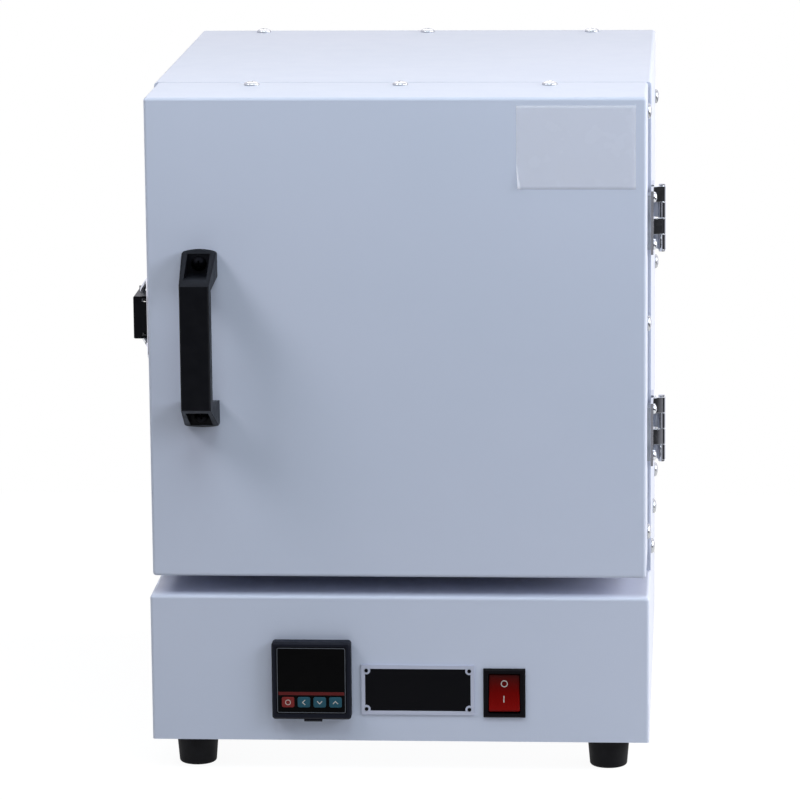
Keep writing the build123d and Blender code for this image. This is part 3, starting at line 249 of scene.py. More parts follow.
def make_floor(half_size, sheet_grey, shown_grey, glow):
    """Pale floor that keeps the furnace's shadow."""
    grid = bmesh.new()
    bmesh.ops.create_grid(grid, x_segments=4, y_segments=4, size=half_size)
    mesh = as_mesh(grid, "Studio floor")
    floor = add_object("Studio_floor", mesh)
    material = bpy.data.materials.new("Pale floor")
    material.use_nodes = True
    tree = material.node_tree
    tree.nodes.clear()
    link = tree.links.new
    matt = add_node(tree, "BsdfDiffuse", Color=(sheet_grey, sheet_grey, sheet_grey, 1.0))
    faint = add_node(tree, "BsdfDiffuse", Color=(shown_grey, shown_grey, shown_grey, 1.0))
    white = add_node(tree, "Emission", Strength=glow)
    lit = add_node(tree, "AddShader")
    link(faint.outputs["BSDF"], lit.inputs[0])
    link(white.outputs["Emission"], lit.inputs[1])
    rays = add_node(tree, "LightPath").outputs
    seen = either(tree, rays["Is Camera Ray"], rays["Is Glossy Ray"])
    seen = either(tree, seen, rays["Is Transmission Ray"])
    shown = mixed(tree, seen, matt.outputs["BSDF"], lit.outputs["Shader"])
    link(shown, add_node(tree, "OutputMaterial").inputs["Surface"])
    mesh.materials.append(material)


make_floor(half_size=0.62, sheet_grey=0.5, shown_grey=0.13, glow=0.93)
print("floor")

# %% [markdown]
# Every finish starts as one shader whose even values are set on its own sockets. What varies over
# the surface, such as a speckle, a stain or a grain, comes from noise that is read in the piece's
# own space. It stays in place when the piece moves, and needs no image.

# %% Tools for finishes
noise_low, noise_high = 0.3, 0.7  # most of a noise lies between these two values


def linear(colour):
    """A screen colour given from 0 to 255, as the linear values that Blender works in."""
    steps = [channel / 255 for channel in colour]
    curve = [step / 12.92 if step < 0.04 else ((step + 0.055) / 1.055) ** 2.4 for step in steps]
    return curve + [1.0]


def shader_of(material):
    """The one shader of a finish."""
    return material.node_tree.nodes["Principled BSDF"]


def new_finish(name, colour, roughness, metallic=0.0, **sockets):
    """Finish with one shader; other sockets are given with underscores for spaces."""
    material = bpy.data.materials.new(name)
    material.use_nodes = True
    set_sockets(
        shader_of(material), Base_Color=linear(colour), Roughness=roughness, Metallic=metallic,
        **sockets,
    )
    return material


def own_place(tree):
    """Socket that gives each point of a piece in the piece's own space."""
    return add_node(tree, "TexCoord").outputs["Object"]


def noise(material, size, detail=2.0, stretch=(1.0, 1.0, 1.0)):
    """Noise whose blots are about size millimetres across, in the piece's own space."""
    tree = material.node_tree
    scale = add_node(tree, "Mapping", Scale=stretch)
    pattern = add_node(tree, "TexNoise", Scale=1.0 / (size * mm), Detail=detail)
    tree.links.new(own_place(tree), scale.inputs["Vector"])
    tree.links.new(scale.outputs["Vector"], pattern.inputs["Vector"])
    return pattern.outputs["Fac"]


def way_up(material, low, high):
    """Share of the way up between two heights in metres, in the piece's own space."""
    tree = material.node_tree
    split = add_node(tree, "SeparateXYZ")
    share = add_node(tree, "MapRange", From_Min=low, From_Max=high)
    tree.links.new(own_place(tree), split.inputs["Vector"])
    tree.links.new(split.outputs["Z"], share.inputs["Value"])
    return share.outputs["Result"]


def tint(material, pattern, colours, low=0.35, high=0.65):
    """Base colour that goes through some colours as the pattern rises from low to high."""
    tree = material.node_tree
    ramp = add_node(tree, "ValToRGB")
    last = len(colours) - 1
    places = [low + (high - low) * index / last for index in range(len(colours))]
    fill_ramp(ramp, list(zip(places, [linear(colour) for colour in colours])))
    tree.links.new(pattern, ramp.inputs["Fac"])
    tree.links.new(ramp.outputs["Color"], shader_of(material).inputs["Base Color"])


def relief(material, pattern, height, strength=1.0):
    """Bump of that height in millimetres, on top of any bump that is there."""
    tree = material.node_tree
    bump = add_node(tree, "Bump", Distance=height * mm, Strength=strength)
    normal = shader_of(material).inputs["Normal"]
    if normal.is_linked:
        tree.links.new(normal.links[0].from_socket, bump.inputs["Normal"])
    tree.links.new(pattern, bump.inputs["Height"])
    tree.links.new(bump.outputs["Normal"], normal)


def shine(material, pattern, low, high):
    """Roughness that varies between two values with the pattern."""
    tree = material.node_tree
    spread = add_node(
        tree, "MapRange", From_Min=noise_low, From_Max=noise_high, To_Min=low, To_Max=high
    )
    tree.links.new(pattern, spread.inputs["Value"])
    tree.links.new(spread.outputs["Result"], shader_of(material).inputs["Roughness"])


print("finish tools ready")

# %% [markdown]
# The case is powder coated: the powder melts into an even satin skin with a very fine orange peel.
# A smooth plastic look would be wrong, and so would a coarse texture, because the real one only
# shows when light grazes it. So the peel is a shallow bump a millimetre wide, and the colour
# wanders by a shade over the length of a hand.

# %% Paint
paint = new_finish("Powder coat", (211, 215, 231), 0.44, Coat_Weight=0.08, Coat_Roughness=0.4)
tint(paint, noise(paint, 160.0), [(210, 214, 230), (213, 216, 232)])
shine(paint, noise(paint, 14.0, 3.0), 0.4, 0.48)
relief(paint, noise(paint, 1.1, 1.5), height=0.02, strength=0.3)
print(paint.name)

# %% [markdown]
# The metals differ in how they were made. Screws, hinges and the latch are nickel or chrome
# plated, so they are nearly mirrors with faint polishing marks. The inner sheets are zinc plated,
# which is duller and shows cloudy grains. The heat sink is brushed aluminium, and the plate beside
# the controller is pressed from it, with a duller skin.


# %% Metals
def make_metal(name, colour, roughness, spread, mark, stretch=(1.0, 1.0, 1.0)):
    """Bare or plated metal with fine marks, whose size is given in millimetres."""
    metal = new_finish(name, colour, roughness, 1.0)
    shine(metal, noise(metal, mark * 4, 3.0, stretch), roughness - spread, roughness + spread)
    relief(metal, noise(metal, mark, stretch=stretch), height=0.006, strength=0.2)
    return metal


chrome = make_metal("Bright plating", (212, 214, 218), 0.08, 0.03, 1.2)
nickel = make_metal("Nickel plating", (190, 192, 195), 0.22, 0.06, 0.8)
zinc = make_metal("Zinc plating", (176, 180, 186), 0.38, 0.08, 1.5)
tint(zinc, noise(zinc, 9.0, 4.0), [(160, 165, 172), (188, 192, 197)])
brushed = make_metal("Brushed aluminium", (206, 209, 216), 0.34, 0.06, 0.3, (0.05, 1.0, 1.0))
dark_steel = make_metal("Blackened steel", (15, 15, 18), 0.5, 0.08, 0.5)
brass = make_metal("Brass", (196, 160, 92), 0.3, 0.07, 0.6)
pressed = make_metal("Pressed aluminium", (188, 191, 208), 0.5, 0.06, 0.4)
set_sockets(shader_of(pressed), Metallic=0.4)
coil_metal = make_metal("Oxidised heating wire", (92, 86, 82), 0.55, 0.1, 0.5)
tint(coil_metal, noise(coil_metal, 3.0, 3.0), [(70, 66, 64), (118, 108, 100)])
print("metals ready")

# %% [markdown]
# Plastics and rubber: the handle and the controller's frame are moulded with a fine leather-like
# grain, and the feet are matt rubber that picks up dust. The rocker's red carries painted shade: it
# is painted darker towards its top, which lies sunk in its frame and is shaded by it.


# %% Plastics and rubber
def make_moulded(name, colour, roughness, grain, height, gloss=0.3):
    """Moulded plastic with a grain whose size and height are in millimetres."""
    plastic = new_finish(name, colour, roughness, Specular_IOR_Level=gloss)
    relief(plastic, noise(plastic, grain), height, strength=0.5)
    shine(plastic, noise(plastic, grain * 12, 3.0), roughness - 0.05, roughness + 0.08)
    return plastic


handle_plastic = make_moulded("Black handle plastic", (5, 6, 11), 0.42, 0.5, 0.02, 0.18)
bezel_plastic = make_moulded("Dark bezel plastic", (10, 13, 25), 0.48, 0.4, 0.02, 0.13)
switch_plastic = make_moulded("Black switch plastic", (7, 5, 9), 0.5, 0.4, 0.01, 0.08)
plain_black = make_moulded("Plain black plastic", (24, 24, 27), 0.5, 0.6, 0.02)
rubber = make_moulded("Black rubber", (11, 11, 14), 0.66, 0.9, 0.05, 0.16)
tint(rubber, noise(rubber, 5.0, 4.0), [(9, 9, 12), (16, 16, 20)])
window_glass = new_finish("Smoked window", (2, 2, 3), 0.2, Specular_IOR_Level=0.04)
shine(window_glass, noise(window_glass, 6.0), 0.18, 0.26)
rocker_red = new_finish("Red rocker", (124, 5, 3), 0.34, Specular_IOR_Level=0.08)
rocker_low, rocker_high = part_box("switch_rocker")
rocker_shade_share = way_up(rocker_red, rocker_low.z, rocker_high.z)
# Painted shade: the red goes from bright at the rocker's foot to dark at its top, where the frame
# shades it.
tint(rocker_red, rocker_shade_share, [(128, 6, 3), (112, 4, 2), (58, 3, 2)], 0.0, 1.0)
relief(rocker_red, noise(rocker_red, 2.0, 1.0), height=0.01, strength=0.2)
key_red = make_moulded("Red key", (126, 42, 40), 0.5, 0.3, 0.01, 0.15)
key_teal = make_moulded("Teal key", (42, 84, 98), 0.5, 0.3, 0.01, 0.15)
window_edge_grey = new_finish("Grey window edge", (96, 98, 104), 0.5, Specular_IOR_Level=0.2)
print_red = new_finish("Dark red print", (92, 22, 22), 0.45, Specular_IOR_Level=0.2)
print_pale = new_finish("Pale print", (205, 198, 190), 0.5, Specular_IOR_Level=0.2)
for finish in (window_edge_grey, print_red, print_pale):
    shine(finish, noise(finish, 1.5), 0.42, 0.56)
print("plastics ready")

# %% [markdown]
# The lining: insulating firebrick is cast with bubbles, so it is pale, soft and full of pores of
# about a millimetre, with specks a shade warmer from the clay. Fibre board is smoother and whiter.
# The honeycomb pad and the thermocouple's sheath are dense ceramic with almost no pores.


# %% Lining
def make_brick(name, colours, pore, depth, roughness):
    """Pale refractory with pores and specks; the pores' size and depth are in millimetres."""
    brick = new_finish(name, colours[0], roughness, Specular_IOR_Level=0.25)
    tint(brick, noise(brick, pore * 6, 6.0), colours, noise_low, noise_high)
    tree = brick.node_tree
    cells = add_node(tree, "TexVoronoi", Scale=1.0 / (pore * 1.6 * mm))
    pit_edge = add_node(tree, "MapRange", From_Min=0.1, From_Max=0.35)
    tree.links.new(own_place(tree), cells.inputs["Vector"])
    tree.links.new(cells.outputs["Distance"], pit_edge.inputs["Value"])
    relief(brick, pit_edge.outputs["Result"], depth, strength=0.6)
    relief(brick, noise(brick, pore * 0.6, 4.0), depth * 0.5, strength=0.7)
    return brick


brick_colours = [(229, 219, 198), (237, 229, 211), (226, 211, 186)]
firebrick = make_brick("Insulating firebrick", brick_colours, 1.2, 0.5, 0.9)
board = make_brick("Fibre board", [(232, 230, 222), (244, 243, 238)], 0.8, 0.2, 0.92)
ceramic = make_brick("Dense ceramic", [(233, 227, 214), (243, 239, 229)], 0.5, 0.05, 0.55)
fibre = make_brick("Ceramic fibre seal", [(222, 218, 206), (242, 240, 232)], 0.5, 0.25, 0.95)
print("lining ready")

# %% [markdown]
# A model made of exact solids has knife-sharp edges, and real parts have none. Most pieces here
# keep their solid's shape and only need the edges taken off. So a copy is made of the solid, its
# flat faces are cleaned into whole faces, and a bevel rounds what is sharper than the set angle.

# %% Tools for pieces
seam_gap = 0.002  # points nearer to each other than this, in millimetres, are one point
flat_angle, sharp_angle = 0.8, 35  # in degrees


def new_piece(name, mesh, node, finish):
    """Puts a mesh on the furnace with a finish: it rides on a node's body."""
    piece = add_object(name, mesh)
    mesh.materials.clear()
    mesh.materials.append(finish)
    body, slot = nodes[node]["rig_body"], slot_of[node]
    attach(piece, body)
    return piece


def smooth(mesh):
    """Shades a mesh smoothly."""
    mesh.polygons.foreach_set("use_smooth", [True] * len(mesh.polygons))
    mesh.update()
    return mesh


def welded(node):
    """The node's solids in one editable mesh, with their seams closed."""
    source = nodes[node].data
    shape = bmesh.new()
    points = [shape.verts.new(vertex.co) for vertex in source.vertices]
    for polygon in source.polygons:
        shape.faces.new([points[index] for index in polygon.vertices])
    bmesh.ops.remove_doubles(shape, verts=shape.verts[:], dist=seam_gap * mm)
    return shape


def ease_edges(piece, width, segments=2):
    """Rounds the sharp edges of a piece by a width in millimetres."""
    bevel = piece.modifiers.new("Rounded edges", "BEVEL")
    bevel.width = width * mm
    bevel.segments = segments
    bevel.limit_method = "ANGLE"
    bevel.angle_limit = math.radians(sharp_angle)
    bevel.harden_normals = True


def rounded(node, width, finish, segments=2):
    """Copy of a node with its sharp edges rounded, which stands for the node."""
    shape = welded(node)
    flat, verts, edges = math.radians(flat_angle), shape.verts[:], shape.edges[:]
    bmesh.ops.dissolve_limit(shape, angle_limit=flat, verts=verts, edges=edges)
    name = "rounded_" + node
    piece = new_piece(name, smooth(as_mesh(shape, name)), node, finish)
    ease_edges(piece, width, segments)
    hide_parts(node)
    return piece


def dress(finish, *names):
    """Gives CAD nodes a finish and leaves their shape alone."""
    for name in names:
        nodes[name].material_slots[0].material = finish
    return len(names)


print("piece tools ready")

# %% [markdown]
# The folded sheets of the case come with their real bends, so they keep their shape and only get
# their finish. Outer sheets are painted, and the sheets that nobody sees are left zinc plated.

# %% Sheets
painted = dress(paint, "body_wrap", "rear_panel", "control_box_shell", "control_rear_panel")
painted += dress(paint, "door_shell", "front_frame", "door_inner_plate")
plated = dress(zinc, "mid_plate", "base_plate", "hinge_spacers")
print(painted, "painted and", plated, "plated nodes")

# %% [markdown]
# Other pieces that keep their solid: small ones inside the case, whose edges nobody comes near,
# and the pins and the bent wire of the latch, which are round already.

# %% Kept solids
kept = dress(plain_black, "controller_clip")
kept += dress(ceramic, "thermocouple_head", "terminal_block")
kept += dress(brass, "coil_terminals", "inlet_pins")
kept += dress(zinc, "foot_screws")
kept += dress(chrome, "latch_pin", "hinge_pins", "latch_bail")
print(kept, "nodes keep their solid")

# %% [markdown]
# The lining's bricks are sawn, so their edges are soft by about a millimetre. The boards are
# softer still. The pad is extruded through a die, and only its rims are worn.

# %% Bricks and boards
for name in ("rear_brick", "roof_brick", "hearth_brick", "heater_bricks", "door_brick"):
    rounded(name, 0.7, firebrick)
for name in ("bottom_board", "top_board", "side_boards", "rear_board"):
    rounded(name, 1.2, board)
rounded("honeycomb_pad", 0.3, ceramic, 1)
rounded("thermocouple_sheath", 0.3, ceramic)
print("lining in place")

# %% [markdown]
# Moulded pieces have edges rounded by their mould: the handle, the controller's frame, the switch,
# the feet and the latch's lever. The widths differ, because a soft rubber foot has a far rounder
# rim than a switch frame.

# %% Moulded pieces
rounded("handle", 0.7, handle_plastic, 3)
rounded("controller_housing", 0.3, bezel_plastic)
rounded("controller_window", 0.12, window_glass, 1)
rounded("switch_housing", 0.3, switch_plastic)
rounded("switch_rocker", 0.6, rocker_red, 3)
rounded("key_set", 0.15, key_red)
for name in ("key_shift", "key_down", "key_up"):
    rounded(name, 0.15, key_teal)
rounded("rubber_feet", 1.6, rubber, 4)
rounded("latch_lever", 0.35, handle_plastic, 3)
rounded("solid_state_relay", 0.5, plain_black)
rounded("power_inlet", 0.4, plain_black)
print("moulded pieces in place")

# %% [markdown]
# Stamped and turned metal: hinge leaves, the latch's base and keeper, the vent, the heat sink, and
# the dark screws and rivets whose plain heads are right as they are.

# %% Metal pieces
for name in ("body_hinge_leaves", "door_hinge_leaves", "latch_base", "latch_keeper"):
    rounded(name, 0.2, chrome)
rounded("vent_tube", 0.3, zinc)
rounded("heat_sink", 0.2, brushed)
rounded("handle_screws", 0.15, dark_steel)
rounded("nameplate_rivets", 0.1, dark_steel)
print("metal pieces in place")

# %% [markdown]
# Screws: a pan head is a low dome over a small upright rim, with a cross recess whose wings get
# narrower towards the bottom. Each size is turned and cut once, and then it is set where each
# solid screw of the model sits. A solid screw has most of its points in its head, which tells
# which way it looks. No two crosses are turned alike, because nobody lines screws up.


# %% Tools for screws
def add_tube(shape, rings, looped=False, capped=True):
    """Joins rings of points into a tube, which is a loop or has flat ends if they are capped."""
    for first, second in zip(rings, rings[1:] + (rings[:1] if looped else [])):
        sides = max(len(first), len(second))
        for side in range(sides):
            corners = [first[side % len(first)], first[(side + 1) % len(first)]]
            corners += [second[(side + 1) % len(second)], second[side % len(second)]]
            shape.faces.new(list(dict.fromkeys(corners)))
    if capped and not looped:
        shape.faces.new(list(reversed(rings[0])))
        shape.faces.new(rings[-1])


def turned(profile, sides=40):
    """Shape turned from pairs of radius and height about the upright axis."""
    shape = bmesh.new()
    rings = []
    for radius, height in profile:
        angles = [2 * math.pi * index / sides for index in range(sides if radius else 1)]
        rings.append([
            shape.verts.new(Vector((radius * math.cos(a), radius * math.sin(a), height)) * mm)
            for a in angles
        ])
    add_tube(shape, rings, capped=False)
    return shape


def wedge(length, width, top, depth):
    """Block that gets shorter and narrower from its top down, to cut half a cross with."""
    shape = bmesh.new()
    above, bottom_share = 1.0, 0.45
    rings = []
    for height, share in ((top + above, 1.0), (top, 1.0), (top - depth, bottom_share)):
        x, y = length * share / 2, width * (0.4 + 0.6 * share) / 2
        corners = [(-x, -y), (x, -y), (x, y), (-x, y)]
        rings.append([shape.verts.new(Vector((a, b, height)) * mm) for a, b in corners])
    for upper, lower in zip(rings, rings[1:]):
        for side in range(4):
            after = (side + 1) % 4
            shape.faces.new([upper[side], lower[side], lower[after], upper[after]])
    shape.faces.new(rings[0])
    shape.faces.new(reversed(rings[-1]))
    return shape


def pan_screw(head_r, head_h, shank_r, length):
    """Screw that is seated on z = 0, with a cross cut into its head; all in millimetres."""
    rim, tip, tip_r, steps, crease = 0.28 * head_h, 0.6, 0.6 * shank_r, 9, 38
    shank = [(0, -length), (tip_r, -length), (shank_r, tip - length), (shank_r, 0)]
    eased_foot = [(head_r - 0.25, 0), (head_r - 0.06, 0.08), (head_r, 0.25), (head_r, rim)]
    dome = []
    for step in range(1, steps + 1):
        angle = math.pi / 2 * step / steps
        radius = head_r * math.cos(angle) if step < steps else 0
        dome.append((radius, rim + (head_h - rim) * math.sin(angle)))
    screw = add_object("screw", as_mesh(turned(shank + eased_foot + dome), "screw", outward=True))
    cutters = []
    for angle in (0, 90):
        shape = wedge(1.05 * head_r, 0.26 * head_r, head_h, 0.62 * head_h)
        cutter = add_object("cutter", as_mesh(shape, "cutter", outward=True))
        cutter.data.transform(Matrix.Rotation(math.radians(angle), 4, "Z"))
        cut = screw.modifiers.new("Cross", "BOOLEAN")
        cut.object = cutter
        cutters.append(cutter)
    view = bpy.context.evaluated_depsgraph_get()
    mesh = bpy.data.meshes.new_from_object(screw.evaluated_get(view))
    for leftover in [screw] + cutters:
        bpy.data.objects.remove(leftover)
    smooth(mesh)
    mesh.set_sharp_from_angle(angle=math.radians(crease))
    return mesh


def loose_parts(node):
    """The separate solids of a node, each as the list of its points."""
    shape = welded(node)
    left = set(shape.verts)
    parts = []
    while left:
        todo = [left.pop()]
        points = []
        while todo:
            point = todo.pop()
            points.append(point.co.copy())
            for edge in point.link_edges:
                other = edge.other_vert(point)
                if other in left:
                    left.remove(other)
                    todo.append(other)
        parts.append(points)
    shape.free()
    return parts


def set_screws(node, template, head_h, finish):
    """Sets a screw where each solid screw of the node is."""
    shape = bmesh.new()
    first_turn, turn_step = 8, 31
    parts = sorted(loose_parts(node), key=lambda points: tuple(min(points, key=tuple)))
    for index, points in enumerate(parts):
        low = Vector([min(point[side] for point in points) for side in range(3)])
        high = Vector([max(point[side] for point in points) for side in range(3)])
        lean = sum(points, Vector()) / len(points) - (low + high) / 2
        axis = max(range(3), key=lambda side: abs(lean[side]))
        way = Vector((0, 0, 0))
        way[axis] = math.copysign(1, lean[axis])
        seat = (low + high) / 2
        seat[axis] = (high if way[axis] > 0 else low)[axis] - way[axis] * head_h * mm
        place = Matrix.Translation(seat) @ way.to_track_quat("Z", "Y").to_matrix().to_4x4()
        turn = math.radians(turn_step * index + first_turn)
        place = place @ Matrix.Rotation(turn, 4, "Z")
        before = len(shape.verts)
        shape.from_mesh(template)
        shape.verts.ensure_lookup_table()
        bmesh.ops.transform(shape, matrix=place, verts=shape.verts[before:])
    name = "set_" + node
    piece = new_piece(name, as_mesh(shape, name), node, finish)
    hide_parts(node)
    return len(parts)


print("screw tools ready")

# %% Screws
case_head, fitting_head = 2.5, 2.2
case_screw = pan_screw(4.7, case_head, 2.0, 7.0)
fitting_screw = pan_screw(3.2, fitting_head, 1.6, 7.0)
count = set_screws("case_screws", case_screw, case_head, nickel)
count += set_screws("door_screws", case_screw, case_head, nickel)
for node in ("body_fitting_screws", "door_fitting_screws", "inlet_screws"):
    count += set_screws(node, fitting_screw, fitting_head, chrome)
print(count, "screws set")

# %% [markdown]
# The heating coils are resistance wire wound on a rod, laid in the grooves, with the wire doubled
# where it goes out through the brick. The model has the outer tube of the winding. Here the wire
# itself is wound along the same line, which runs up and down the face of the brick.

# %% Heating coils
coil_r, wire_r, turn_pitch, corners_per_turn = 2.9, 0.62, 2.6, 8
groove_half, lead_r, lead_shift, lead_overlap = 3.5, 1.0, 0.85, 1.0
runs, run_length, run_pitch = 4, 132.0, 32.0
half_turn = math.pi * run_pitch / 2
outer_run = (runs - 1) / 2


def coil_point(way):
    """Point of the winding's centre line, on the brick's face, after some millimetres."""
    run, rest = divmod(way, run_length + half_turn)
    side = 1 if run % 2 else -1
    across = (run - outer_run) * run_pitch
    if rest <= run_length:
        return Vector((across, side * (rest - run_length / 2), 0))
    angle = (rest - run_length) / (run_pitch / 2)
    across += run_pitch / 2 * (1 - math.cos(angle))
    return Vector((across, side * (run_length / 2 + run_pitch / 2 * math.sin(angle)), 0))


def add_wire(shape, points, radius, sides=6):
    """Adds a round wire along a line of points."""
    side = (points[1] - points[0]).orthogonal()
    rings = []
    for index, point in enumerate(points):
        ahead = points[min(index + 1, len(points) - 1)] - points[max(index - 1, 0)]
        ahead.normalize()
        side = (side - ahead * side.dot(ahead)).normalized()
        across = ahead.cross(side)
        ring = []
        for corner in range(sides):
            angle = 2 * math.pi * corner / sides
            offset = side * math.cos(angle) + across * math.sin(angle)
            ring.append(shape.verts.new(point + offset * radius))
        rings.append(ring)
    add_tube(shape, rings)


def wind_coil(shape, place, back):
    """Winds one coil on the face of a brick; place turns the face to where it belongs."""
    total, tiny = runs * run_length + (runs - 1) * half_turn, 0.01
    up = Vector((0, 0, 1))
    points = []
    steps = int(total / turn_pitch * corners_per_turn)
    for step in range(steps + 1):
        way = total * step / steps
        centre = coil_point(min(way, total - tiny))
        ahead = (coil_point(min(way, total - 2 * tiny) + tiny) - centre).normalized()
        angle = 2 * math.pi * way / turn_pitch
        offset = ahead.cross(up) * math.cos(angle) + up * math.sin(angle)
        points.append(place @ ((centre + offset * coil_r) * mm))
    add_wire(shape, points, wire_r * mm)
    for end in (-outer_run, outer_run):
        start = place @ (Vector((end * run_pitch, run_length / 2 - lead_overlap, 0)) * mm)
        stops = (start.y, (start.y + back) / 2, back)
        lead = [Vector((start.x, stop, start.z)) for stop in stops]
        for shift in (-lead_shift, lead_shift):
            strand = [point + Vector((0, 0, shift * mm)) for point in lead]
            add_wire(shape, strand, lead_r * mm, 10)


def wound(name, node, places):
    """Piece with the wound wire of one node."""
    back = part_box(node)[1].y
    shape = bmesh.new()
    for place in places:
        wind_coil(shape, place, back)
    piece = new_piece(name, smooth(as_mesh(shape, name)), node, coil_metal)
    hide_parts(node)
    return len(piece.data.vertices)


def on_side(x, turn):
    """Place that stands the face of a coil upright in a side wall at x, in metres."""
    return Matrix.Translation(middle + Vector((x, 0, 0))) @ Matrix.Rotation(turn, 4, "Y")


reach = (run_length / 2 + run_pitch / 2 + groove_half) * mm
low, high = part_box("floor_heating_coil")
floor_place = Matrix.Translation(((low.x + high.x) / 2, low.y + reach, (low.z + high.z) / 2))
low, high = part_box("side_heating_coils")
middle = Vector((0, low.y + reach, (low.z + high.z) / 2))
left_place = on_side(low.x + groove_half * mm, math.pi / 2)
right_place = on_side(high.x - groove_half * mm, -math.pi / 2)
points = wound("floor_coil_wire", "floor_heating_coil", [floor_place])
points += wound("side_coil_wires", "side_heating_coils", [left_place, right_place])
print(points, "points of wire")

# %% [markdown]
# The door's seal is a flat band of woven ceramic fibre, glued round the plug. It is soft, so its
# section is a low crown and its face shows the ribs of the weave. The band is swept round a
# rounded rectangle, and its height follows the ribs as it goes.

# %% Door seal
band_half, weave_step = 5.9 * mm, 0.8 * mm
# where the points of the band's section lie, from its inner edge at -1 to its outer one at 1
band_shares = [-1.0, -0.97, -0.85, -0.65, -0.45, -0.25, -0.05]
band_shares += [0.15, 0.35, 0.55, 0.75, 0.9, 0.98, 1.0]


def seal_line(half_x, half_z, corner, step):
    """Points and outward directions round a rounded rectangle."""
    line = []
    for quarter, (x, z) in enumerate([(1, 1), (-1, 1), (-1, -1), (1, -1)]):
        centre = Vector((x * (half_x - corner), 0, z * (half_z - corner)))
        count = max(4, round(corner * math.pi / 2 / step))
        for index in range(count):
            angle = math.pi / 2 * (quarter + index / count)
            out = Vector((math.cos(angle), 0, math.sin(angle)))
            line.append((centre + out * corner, out))
        angle = math.pi / 2 * (quarter + 1)
        out = Vector((math.cos(angle), 0, math.sin(angle)))
        ahead = Vector((-math.sin(angle), 0, math.cos(angle)))
        length = 2 * ((half_z if quarter % 2 else half_x) - corner)
        count = round(length / step)
        for index in range(count):
            line.append((centre + out * corner + ahead * length * index / count, out))
    return line


def weave(index, share):
    """Height of the ribs, from -1 to 1, at a step along the band and a share across it."""
    one_way = math.sin(math.pi * (index / 2 + share * 4))
    return one_way * math.sin(math.pi * (index / 3 - share * 5))


def woven_seal(node, finish):
    """Soft band in place of the flat solid seal."""
    low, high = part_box(node)
    thick = high.y - low.y
    middle = Vector(((low.x + high.x) / 2, low.y, (low.z + high.z) / 2))
    half_x, half_z = (high.x - low.x) / 2 - band_half, (high.z - low.z) / 2 - band_half
    line = seal_line(half_x, half_z, band_half + weave_step, weave_step)
    shape = bmesh.new()
    rings = []
    for index, (point, out) in enumerate(line):
        ring = []
        for share in band_shares:
            crown = (1 - abs(share) ** 4) ** 0.5
            height = thick * crown * (0.9 + 0.1 * weave(index, share))
            place = middle + point + out * share * band_half + Vector((0, height, 0))
            ring.append(shape.verts.new(place))
        rings.append(ring)
    add_tube(shape, rings, looped=True)
    mesh = smooth(as_mesh(shape, "woven_seal", outward=True))
    piece = new_piece("woven_seal", mesh, node, finish)
    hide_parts(node)
    return len(line)


print(woven_seal("door_gasket", fibre), "steps of weave")

# %% [markdown]
# The plate beside the controller is pressed aluminium. Its border and the bosses of its rivets are
# bare, and the sunk field is filled with black enamel. The field is found by its depth.

# %% Nameplate
enamel = new_finish("Black enamel", (6, 6, 10), 0.4, Specular_IOR_Level=0.07)
shine(enamel, noise(enamel, 7.0, 3.0), 0.34, 0.5)
plate = rounded("nameplate", 0.18, pressed)
plate.data.materials.append(enamel)
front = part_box("nameplate")[0].y
field_least, field_most = 0.2 * mm, 0.4 * mm
filled = 0
for face in plate.data.polygons:
    if face.normal.y < -0.9 and field_least < face.center.y - front < field_most:
        face.material_index = 1
        filled += 1
print(filled, "faces of enamel")

# %% [markdown]
# Marks stay plain: a grey line along the edge of the controller's window, a printed band across the
# window, a printed arrow or ring on each key, and the printed O and I of the rocker. Each one is a
# thin raised line, of ink where it is printed. Its points are dropped on the surface, so that the
# marks follow the hollow of the rocker, and it rides on the part that it lies on.

# %% Tools for marks
ink_top, ink_root = 0.05, -0.02  # heights over the surface, in millimetres
ink_section = ((0, ink_top), (1, ink_top), (1, ink_root), (0, ink_root))


def ribbon(points, width, closed):
    """Both edges of a line of even width, from points given as x and z."""
    points = [Vector(point) for point in points]
    edges = []
    for index, point in enumerate(points):
        back = points[index - 1] if closed or index else None
        ahead = points[(index + 1) % len(points)] if closed or index + 1 < len(points) else None
        ways = (back and point - back, ahead and ahead - point)
        sides = [Vector((-way.y, way.x)).normalized() for way in ways if way]
        side = sum(sides, Vector((0, 0))).normalized()
        reach = width / 2 / max(0.4, side.dot(sides[-1]))
        edges.append((point + side * reach, point - side * reach))
    return edges


def print_marks(name, node, lines, finish):
    """Thin raised lines on the front of a node; each is its points, its width, and if it is closed.
    """
    surface = welded(node)
    tree = BVHTree.FromBMesh(surface)
    surface.free()
    shape = bmesh.new()
    for points, width, closed in lines:
        rings = []
        for pair in ribbon(points, width, closed):
            ring = []
            for edge, lift in ink_section:
                start = Vector((pair[edge].x, -1000, pair[edge].y)) * mm
                hit = tree.ray_cast(start, Vector((0, 1, 0)))[0]
                ring.append(shape.verts.new(hit - Vector((0, lift * mm, 0))))
            rings.append(ring)
        add_tube(shape, rings, looped=closed)
    new_piece(name, as_mesh(shape, name, outward=True), node, finish)


def arc(x, z, radius, start=0, end=360, steps=28):
    """Points of an upright circle, or of a part of it."""
    angles = [math.radians(start + (end - start) * step / steps) for step in range(steps)]
    return [(x + radius * math.cos(angle), z + radius * math.sin(angle)) for angle in angles]


def centre(node):
    """Middle of a node's front, as x and z in millimetres."""
    low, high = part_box(node)
    return (low.x + high.x) / 2 / mm, (low.z + high.z) / 2 / mm


def print_arrow(node, steps):
    """Arrow on a key, through points given from the key's middle."""
    x, z = centre(node)
    line = [(x + across, z + up) for across, up in steps]
    print_marks(node + "_arrow", node, [(line, 0.5, False)], print_pale)


print("print tools ready")
